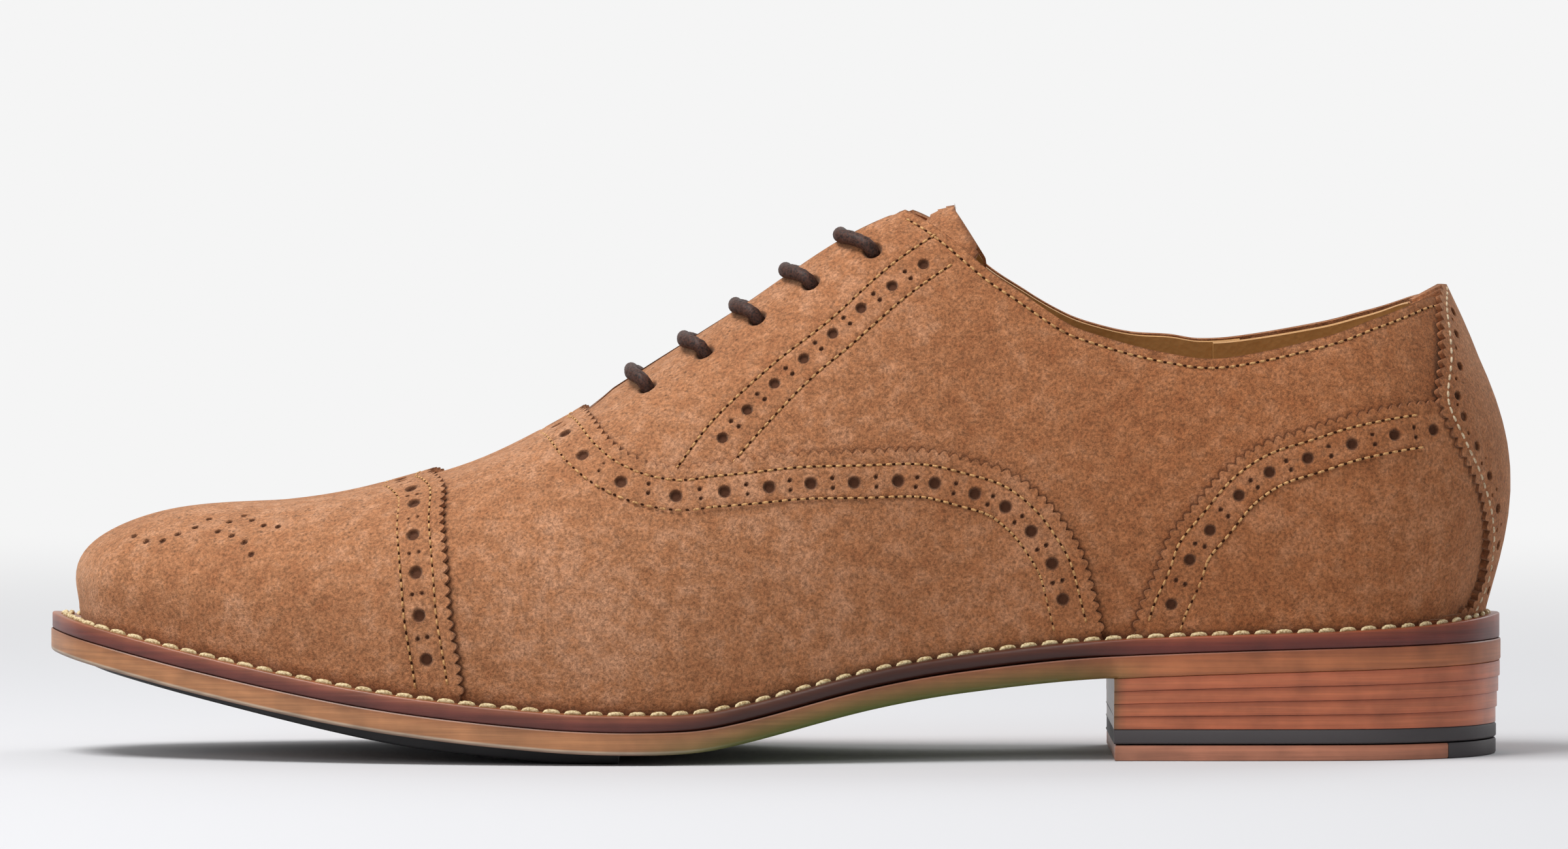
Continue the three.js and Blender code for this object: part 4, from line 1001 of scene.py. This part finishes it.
# The rim is worn pale at the forefoot only; at the heel the stack covers it.
level = np.concatenate([np.maximum(height / OUTSOLE, 0.4 * (at_edge > 60)) for _, height in sole_profile])
stained = np.concatenate([waist(at_edge) * max(1 - height / 3.9, 0) ** 0.8 * 0.95
                          for _, height in sole_profile])
across = []
for base, order in ((0, 1), ((len(rings) - 1) * LOOP, -1)):
    for k in range(LOOP // 2):
        strip = [base + k, base + (LOOP - k) % LOOP, base + (LOOP - k - 1) % LOOP, base + k + 1]
        across.append(list(dict.fromkeys(strip))[::order])
outsole = piece("outsole_bend_leather", np.concatenate(rings), walls(LOOP, len(rings)) + across, sole_edge,
                "shoe", 35)
give_values(outsole, {"level": level, "stained": stained})
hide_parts("outsole")


# ---------------------------------------------------------------- forefoot rubber and heel
# Black rubber let in under the forefoot; a stack of four leather lifts, a black rubber layer,
# and a leather top piece with a rubber corner at the back.
def half_ring(inset, cut_x, z, back=True, count=150, across=24):
    """A closed loop: the sole's outline on one side of a straight line across at cut_x."""
    t = np.linspace(0, 1, 4001) if back else np.linspace(-0.5, 0.5, 4001)
    edge, outward = outline_at(t)
    at = edge - outward * inset
    kept = np.flatnonzero(at[:, 0] >= cut_x if back else at[:, 0] <= cut_x)
    at = at[kept[0]:kept[-1] + 1]
    run = run_along(at)
    round_part = at_run(np.linspace(0, run[-1], count), run, at)
    line = np.linspace(round_part[-1], round_part[0], across + 2)[1:-1]
    loop = np.concatenate([round_part, line])
    return np.column_stack([loop, z(loop[:, 0])])


def stacked(name, rings, material, values=None):
    """A layer skinned over its loops, from the lowest up."""
    count = len(rings[0])
    faces = walls(count, len(rings)) + end_caps(count, len(rings))
    made = piece(name, np.concatenate(rings), faces, material, "shoe", 35)
    give_values(made, values or {})
    return made


def rubber(name, colour):
    material, tree, place = new_material(name)
    rough = mapped(tree, noise(tree, place, 120, 4), 0, 1, 0.5, 0.75)
    surfaced(tree, {"Base Color": linear(colour), "IOR": 1.52},
             {"Roughness": rough, "Normal": bumped(tree, noise(tree, place, 900, 3), 0.3, 0.0001)})
    return material


black_rubber = rubber("black_rubber", "#201f21")
grey_rubber = rubber("dark_grey_rubber", "#403b3c")
TREAD_END = -33
tread_drop = smooth((-150, 0.9), (-110, 1.5), (-75, 2.6))


def tread_floor(x):
    return np.maximum(sole_line(x) - tread_drop(x), 0.0)


rings = [half_ring(inset, TREAD_END, z, False) for inset, z in (
    (8.0, tread_floor), (7.2, lambda x: tread_floor(x) + 0.35), (7.0, lambda x: tread_floor(x) + 0.9),
    (7.0, above(0.02)))]
tread = stacked("forefoot_rubber_insert", rings, black_rubber)
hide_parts("forefoot_rubber")

BREAST = 71.4
TOP_PIECE = 3.3
HEEL_BASE = TOP_PIECE + 0.3 + 2.8 + 0.3
HEEL_TAPER = 1.2
LIFTS = 4
stack_leather = edge_leather("burnished_stack", [(0.0, "#965a40"), (0.12, "#b26e4c"), (0.5, "#be7c58"),
                                                (0.88, "#ab684a"), (1.0, "#955a42")], "#5d5a3c", 0.34)


def stack_at(share, up=0.0):
    return lambda x: (sole_line(x) - 0.05) * (1 - share) + HEEL_BASE * share + up


def breast_stain(rings_count, amount):
    """The breast's edge has taken some of the waist's green stain."""
    loop = half_ring(0, BREAST, sole_line)
    return np.tile(np.clip(1 - (loop[:, 0] - BREAST) / 2.2, 0, 1) * amount, rings_count)


for k in range(LIFTS):
    low, high = (k + 1) / LIFTS, k / LIFTS
    draw = HEEL_TAPER * (low + high) / 2
    rings = []
    for inset, rise in ((0.1, 0.01), (0.02, 0.05), (0, 0.3)):
        rings.append(half_ring(draw + inset, BREAST, stack_at(low, rise)))
    for inset, rise in ((0, 0.3), (0.02, 0.05), (0.1, 0.01)):
        rings.append(half_ring(draw + inset, BREAST, stack_at(high, -rise)))
    level = np.repeat((0, 0.08, 0.2, 0.8, 0.92, 1), len(rings[0]))
    lift = stacked(f"heel_lift_{k + 1}_leather", rings, stack_leather,
                   {"level": level, "stained": breast_stain(6, 0.8)})
    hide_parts(f"heel_lift_{k + 1}")


def flat(z):
    return lambda x: np.full(np.shape(x), float(z))


rubber_profile = [(1.25, TOP_PIECE + 0.32), (0.95, TOP_PIECE + 0.6), (0.95, HEEL_BASE - 0.5),
                  (1.25, HEEL_BASE - 0.05)]
heel_rubber = stacked("heel_rubber_layer", [half_ring(inset, BREAST, flat(z)) for inset, z in rubber_profile],
                      grey_rubber)
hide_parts("heel_rubber")

WEAR_CENTRE, WEAR_RADIUS = 165.0, 33.0


def wear_ring(inset, z, corner):
    """The top piece, or its rubber back corner, cut on an arc about a place behind the heel."""
    t = np.linspace(0, 1, 4001)
    edge, outward = outline_at(t)
    at = edge - outward * inset
    radius = WEAR_RADIUS if corner else WEAR_RADIUS + 0.25
    behind_arc = np.hypot(at[:, 0] - WEAR_CENTRE, at[:, 1]) < radius
    first, last = np.flatnonzero(behind_arc)[[0, -1]]
    turn = np.arctan2(at[[first, last], 1], WEAR_CENTRE - at[[first, last], 0])
    arc_turn = np.linspace(turn[1], turn[0], 41)[1:-1]
    arc = np.column_stack([WEAR_CENTRE - radius * np.cos(arc_turn), radius * np.sin(arc_turn)])

    def even(line, count):
        run = run_along(line)
        return at_run(np.linspace(0, run[-1], count), run, line)
    if corner:
        loop = np.concatenate([even(at[first:last + 1], 90), arc])
    else:
        ahead_t = np.flatnonzero(at[:, 0] >= BREAST + inset - 0.9)
        outer_side = at[ahead_t[0]:first + 1]
        inner_side = at[last:ahead_t[-1] + 1]
        front = np.linspace(inner_side[-1], outer_side[0], 26)[1:-1]
        loop = np.concatenate([even(outer_side, 70), arc[::-1], even(inner_side, 70), front])
    return np.column_stack([loop, np.full(len(loop), z)])


TOP_PROFILE = [(1.5, 0.0), (1.15, 0.12), (1.0, 0.45), (1.0, TOP_PIECE - 0.35), (1.2, TOP_PIECE)]
# Its leather is less burnished than the stack and scuffed pale.
scuffed_leather = edge_leather("scuffed_top_piece", [(0.0, "#8d6852"), (0.3, "#b78a70"), (1.0, "#a8785f")],
                               "#5d5a3c", 0.5)
rings = [wear_ring(inset, z, False) for inset, z in TOP_PROFILE]
count = len(rings[0])
top_leather = stacked("top_piece_leather_layer", rings, scuffed_leather,
                      {"level": np.repeat((0.1, 0.2, 0.4, 0.7, 0.95), count), "stained": np.zeros(5 * count)})
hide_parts("top_piece_leather")
top_rubber = stacked("top_piece_rubber_corner", [wear_ring(inset, z, True) for inset, z in TOP_PROFILE],
                     grey_rubber)
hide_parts("top_piece_rubber")


# ---------------------------------------------------------------- thread
# Upper: tan polyester thread, 0.5 mm, 2.1 mm a stitch. Welt: cream waxed linen, 1.3 mm, laid in
# slanting lockstitches 4.5 mm apart in the crease beside the upper.
def two_tone(name, dark, light, scale, rough, detail=4.0, span=(0.35, 0.65), grain=0.0, **look):
    """Two mottled tones of one material, raised by its grain's height in metres."""
    material, tree, place = new_material(name)
    mottle = noise(tree, place, scale, detail)
    links = {"Base Color": ramp(tree, mottle, (span[0], dark), (span[1], light))}
    if grain:
        links["Normal"] = bumped(tree, mottle, 0.5, grain)
    surfaced(tree, {"Roughness": rough, "IOR": 1.5, **look}, links)
    return material


def thread_material(name, colour, dark, rough):
    """Twisted strands, drawn at 0.5 mm, a little shiny with wax."""
    return two_tone(name, dark, colour, 2200, rough, 2.0, (0.35, 0.6), 0.0001, **{"Specular IOR Level": 0.35})


tan_thread = thread_material("tan_sewing_thread", "#cf9f66", "#9a6c40", 0.6)
pale_thread = thread_material("pale_sewing_thread", "#d9c3a2", "#a98f6f", 0.6)
linen_thread = thread_material("cream_waxed_linen", "#e2cfa3", "#a58a5c", 0.5)
AROUND = 8
CAPSULE = [(-1.0, 0.3, -0.35), (-0.8, 0.8, -0.12), (-0.35, 1.0, 0.0), (0.35, 1.0, 0.0), (0.8, 0.8, -0.12),
           (1.0, 0.3, -0.35)]


def stitches(name, places, length, radius, material, body, slant=0.0):
    """Short rounded bars of thread, whose ends dip into the leather."""
    at = np.concatenate([p[0] for p in places])
    normal = np.concatenate([p[1] for p in places])
    along = np.concatenate([p[2] for p in places])
    normal /= np.linalg.norm(normal, axis=1, keepdims=True)
    side = np.cross(normal, along)
    side /= np.linalg.norm(side, axis=1, keepdims=True)
    along = np.cross(side, normal) * math.cos(slant) + side * math.sin(slant)
    side = np.cross(normal, along)
    turns = np.arange(AROUND) * 2 * math.pi / AROUND
    rings = []
    for step, width, lift in CAPSULE:
        middle = at + along * (step * length / 2) + normal * (lift * radius * 2)
        for turn in turns:
            rings.append(middle + (side * math.cos(turn) + normal * math.sin(turn)) * radius * width)
    points = np.stack(rings, 1)
    per = points.shape[1]
    faces = []
    for k in range(len(CAPSULE) - 1):
        for n in range(AROUND):
            faces.append([k * AROUND + n, (k + 1) * AROUND + n, (k + 1) * AROUND + (n + 1) % AROUND,
                          k * AROUND + (n + 1) % AROUND])
    ends = [list(range(AROUND)), list(range(per - AROUND, per))[::-1]]
    every = [[v + per * c for v in face] for c in range(len(at)) for face in faces + ends]
    return piece(name, points.reshape(-1, 3), every, material, body, 80)


def raised(places, height, lift=lambda at: np.zeros(len(at))):
    at, normal, along = places
    return at + normal * (height + lift(at))[:, None], normal, along


SEW = 2.1
sewn = [raised(cap_edge.places(SEW, 1, 1, a), 2.45) for a in CAP_STITCHES]
sewn += [raised(wing_edge.places(SEW, 1, 1, a), 1.15) for a in WING_STITCHES]
for side_name, side in (("lateral", -1), ("medial", 1)):
    sewn += [raised(foxing_seams[side_name].places(SEW, 1, 10, side * a), 1.15) for a in FOXING_STITCHES]
    sewn += [raised(line.places(SEW, 1, 1), -0.1, facing_rise) for line in band_stitches[side_name]]
    line = topline_outer if side < 0 else topline_inner
    sewn.append(raised(line.places(SEW, 9, 10, side * TOPLINE_STITCH), -0.1, facing_rise))
upper_sewing = stitches("upper_stitches_thread", sewn, 1.4, 0.27, tan_thread, "shoe")
# The dark of a needle hole: dyed leather deep in shade.
needle_dark = two_tone("needle_hole_shadow", "#2a150c", "#3f2415", 800, 0.95, 2.0, (0.0, 1.0),
                       **{"Specular IOR Level": 0.05})
between = [((at[1:] + at[:-1]) / 2 - normal[1:] * 0.06, normal[1:], along[1:]) for at, normal, along in sewn]
needle_holes = stitches("needle_holes_upper", between, 0.75, 0.24, needle_dark, "shoe")
strap_sewn = [raised(strap_edges[s].places(SEW, 2, 2, -sign * 1.5), 1.9, heel_bulge)
              for s, sign in (("lateral", -1), ("medial", 1))]
strap_sewing = stitches("strap_stitches_thread", strap_sewn, 1.6, 0.28, pale_thread, "shoe")

WELT_STITCH = 4.5
loop = sole_ring(2.9, above(WELT_TOP + 0.28, back_rise))
loop = np.concatenate([loop, loop[:1]])
run = run_along(loop)
count = int(run[-1] / WELT_STITCH)
s = (np.arange(count) + 0.5) * run[-1] / count
at, after = at_run(s, run, loop), at_run(s + 0.6, run, loop)
along = (after - at) / np.linalg.norm(after - at, axis=1, keepdims=True)
upward = np.cross(along, np.cross([0, 0, 1.0], along))
welt_sewing = stitches("welt_lockstitches_linen", [(at, upward, along)], 3.8, 0.58, linen_thread, "shoe",
                       slant=0.22)
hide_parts("welt_stitching")


# ---------------------------------------------------------------- eyelets and lace
# Ten blind eyelets under the facings. The lace, 2.8 mm, round, braided and waxed dark brown,
# makes five straight bars; its tails are tucked away between facings and tongue.
def by_eyelets(side, k, across, depth):
    """A place by the row of eyelets: k counts eyelets, across is away from the ridge."""
    first = min(max(int(math.floor(k)), 0), len(eyelet_places) - 2)
    (f0, w0), (f1, w1) = eyelet_places[first], eyelet_places[first + 1]
    f, w = f0 + (f1 - f0) * (k - first), w0 + (w1 - w0) * (k - first)
    per_mm = 0.01 / np.linalg.norm(last_point(f, w + 0.005) - last_point(f, w - 0.005))
    w = (w - across * per_mm) * (-1 if side == "medial" else 1)
    return last_point(f, w) + last_normal(f, w) * depth


LACE_RADIUS = 1.4
EYELET_UNDER = -3.2
LACE_OVER = LACE_RADIUS + 1.3
LACE_UNDER = EYELET_UNDER - 0.7 - LACE_RADIUS - 0.9
LANE_NEAR, LANE_FAR = 8.0, 13.0
HAIRPIN = 0.75
BESIDE = 3.6


def through(side, k):
    return [by_eyelets(side, k + min(a, 0) * 0.045, a, d) for a, d in (
        (-5.2, LACE_OVER), (-2.6, LACE_OVER - 0.3), (-0.6, LACE_OVER - 1.1), (0, -0.4), (0, -2.2),
        (0, EYELET_UNDER - 0.9))]


def bar(start, k):
    other = "medial" if start == "lateral" else "lateral"
    a, b = (by_eyelets(side, k - 0.3, -7.6, LACE_OVER) for side in ("lateral", "medial"))
    middle = (a + b) / 2
    middle[2] = max(middle[2], a[2]) + 0.3
    over = [a, middle, b] if start == "lateral" else [b, middle, a]
    return [*through(start, k)[::-1], *over, *through(other, k)]


def inside(side, start, end, across):
    turn = 0.17 * (1 if end > start else -1)
    halfway = [((start + end) / 2, across)] if abs(end - start) > 1.5 else []
    course = [(start + turn, across * 0.25), (start + 3 * turn, across), *halfway,
              (end - 3 * turn, across), (end - turn, across * 0.25)]
    return [by_eyelets(side, k, a, LACE_UNDER) for k, a in course]


def tail(side, start):
    course = [(start - 0.15, 1.6), (start - 0.45, LANE_NEAR - 2)]
    course += [(k, LANE_NEAR) for k in (3.2, 2.6, 2.0, 1.4) if k < start - 0.6]
    course += [(HAIRPIN, LANE_NEAR), (HAIRPIN - 0.13, LANE_NEAR + 0.8),
               (HAIRPIN - 0.18, (LANE_NEAR + LANE_FAR) / 2), (HAIRPIN - 0.13, LANE_FAR - 0.8)]
    course += [(k, LANE_FAR) for k in (HAIRPIN, 1.4, 2.0, 2.3)]
    return [by_eyelets(side, k, a, LACE_UNDER) for k, a in course]


LACE_COURSE = np.array([
    *tail("lateral", 3)[::-1], *bar("lateral", 3), *inside("medial", 3, 1, BESIDE), *bar("medial", 1),
    *inside("lateral", 1, 0, 0), *bar("lateral", 0), *inside("medial", 0, 2, -BESIDE), *bar("medial", 2),
    *inside("lateral", 2, 4, -BESIDE), *bar("lateral", 4), *tail("medial", 4)])


def tube(name, course, radius, braid, step, sides, material):
    """A round cord along a course, with crossing braid strands raised on it."""
    knots = np.concatenate([[0], np.cumsum(np.sqrt(np.linalg.norm(np.diff(course, axis=0), axis=1)))])
    fine = np.linspace(0, knots[-1], len(course) * 24)
    at = np.stack([spline_through(knots, course[:, k], fine) for k in range(3)], 1)
    run = run_along(at)
    s = np.linspace(0, run[-1], int(run[-1] / step) + 1)
    at = at_run(s, run, at)
    along = np.gradient(at, axis=0)
    along /= np.linalg.norm(along, axis=1, keepdims=True)
    side = np.cross(along[0], [0, 0, 1.0])
    turns = np.arange(sides) * 2 * math.pi / sides
    rings = []
    for k in range(len(s)):
        side = side - along[k] * np.dot(side, along[k])
        side /= np.linalg.norm(side)
        other = np.cross(along[k], side)
        strand = np.maximum(np.abs(np.cos(2 * turns + 1.6 * s[k])), np.abs(np.cos(2 * turns - 1.6 * s[k])))
        r = radius * (1 - braid * (1 - strand))
        rings.append(at[k] + (side * np.cos(turns)[:, None] + other * np.sin(turns)[:, None]) * r[:, None])
    faces = walls(sides, len(s)) + end_caps(sides, len(s))
    return piece(name, np.concatenate(rings), faces, material, "shoe", 80)


waxed_cotton = thread_material("dark_waxed_cotton", "#4b2c20", "#1d100b", 0.6)
lace = tube("lace_braided_cotton", LACE_COURSE, LACE_RADIUS + 0.12, 0.2, 0.4, 16, waxed_cotton)
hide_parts("lace")


# ---------------------------------------------------------------- hidden parts kept from the frame
# Plain materials for what lies inside the shoe.
hidden = {
    two_tone("stiffener_felt", "#7d694f", "#9a8466", 900, 0.9): ["toe_puff", "heel_counter"],
    two_tone("cotton_canvas", "#b3a88f", "#d5cbb5", 1500, 0.9): ["vamp_interlining", "insole_rib"],
    two_tone("insole_leather", "#9b7448", "#b88f62", 300, 0.7): ["insole"],
    two_tone("granular_cork", "#6e5030", "#a5814f", 700, 0.95): ["cork_filler"],
    two_tone("shank_steel", "#7c7f83", "#8f9296", 200, 0.35, Metallic=1.0): [
        "shank", *[f"heel_nail_{k}" for k in range(1, 6)]],
    two_tone("eyelet_brass", "#9a7838", "#b89455", 200, 0.3, Metallic=1.0): [
        f"eyelet_{side}_{k}" for side in ("lateral", "medial") for k in range(1, 6)],
    two_tone("dark_aglet_film", "#241813", "#2f211b", 200, 0.25): ["aglet_1", "aglet_2"],
    lining_calf: ["vamp_lining", "heel_sock"],
}
for material, names in hidden.items():
    for name in names:
        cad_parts[name].data.materials.clear()
        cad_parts[name].data.materials.append(material)
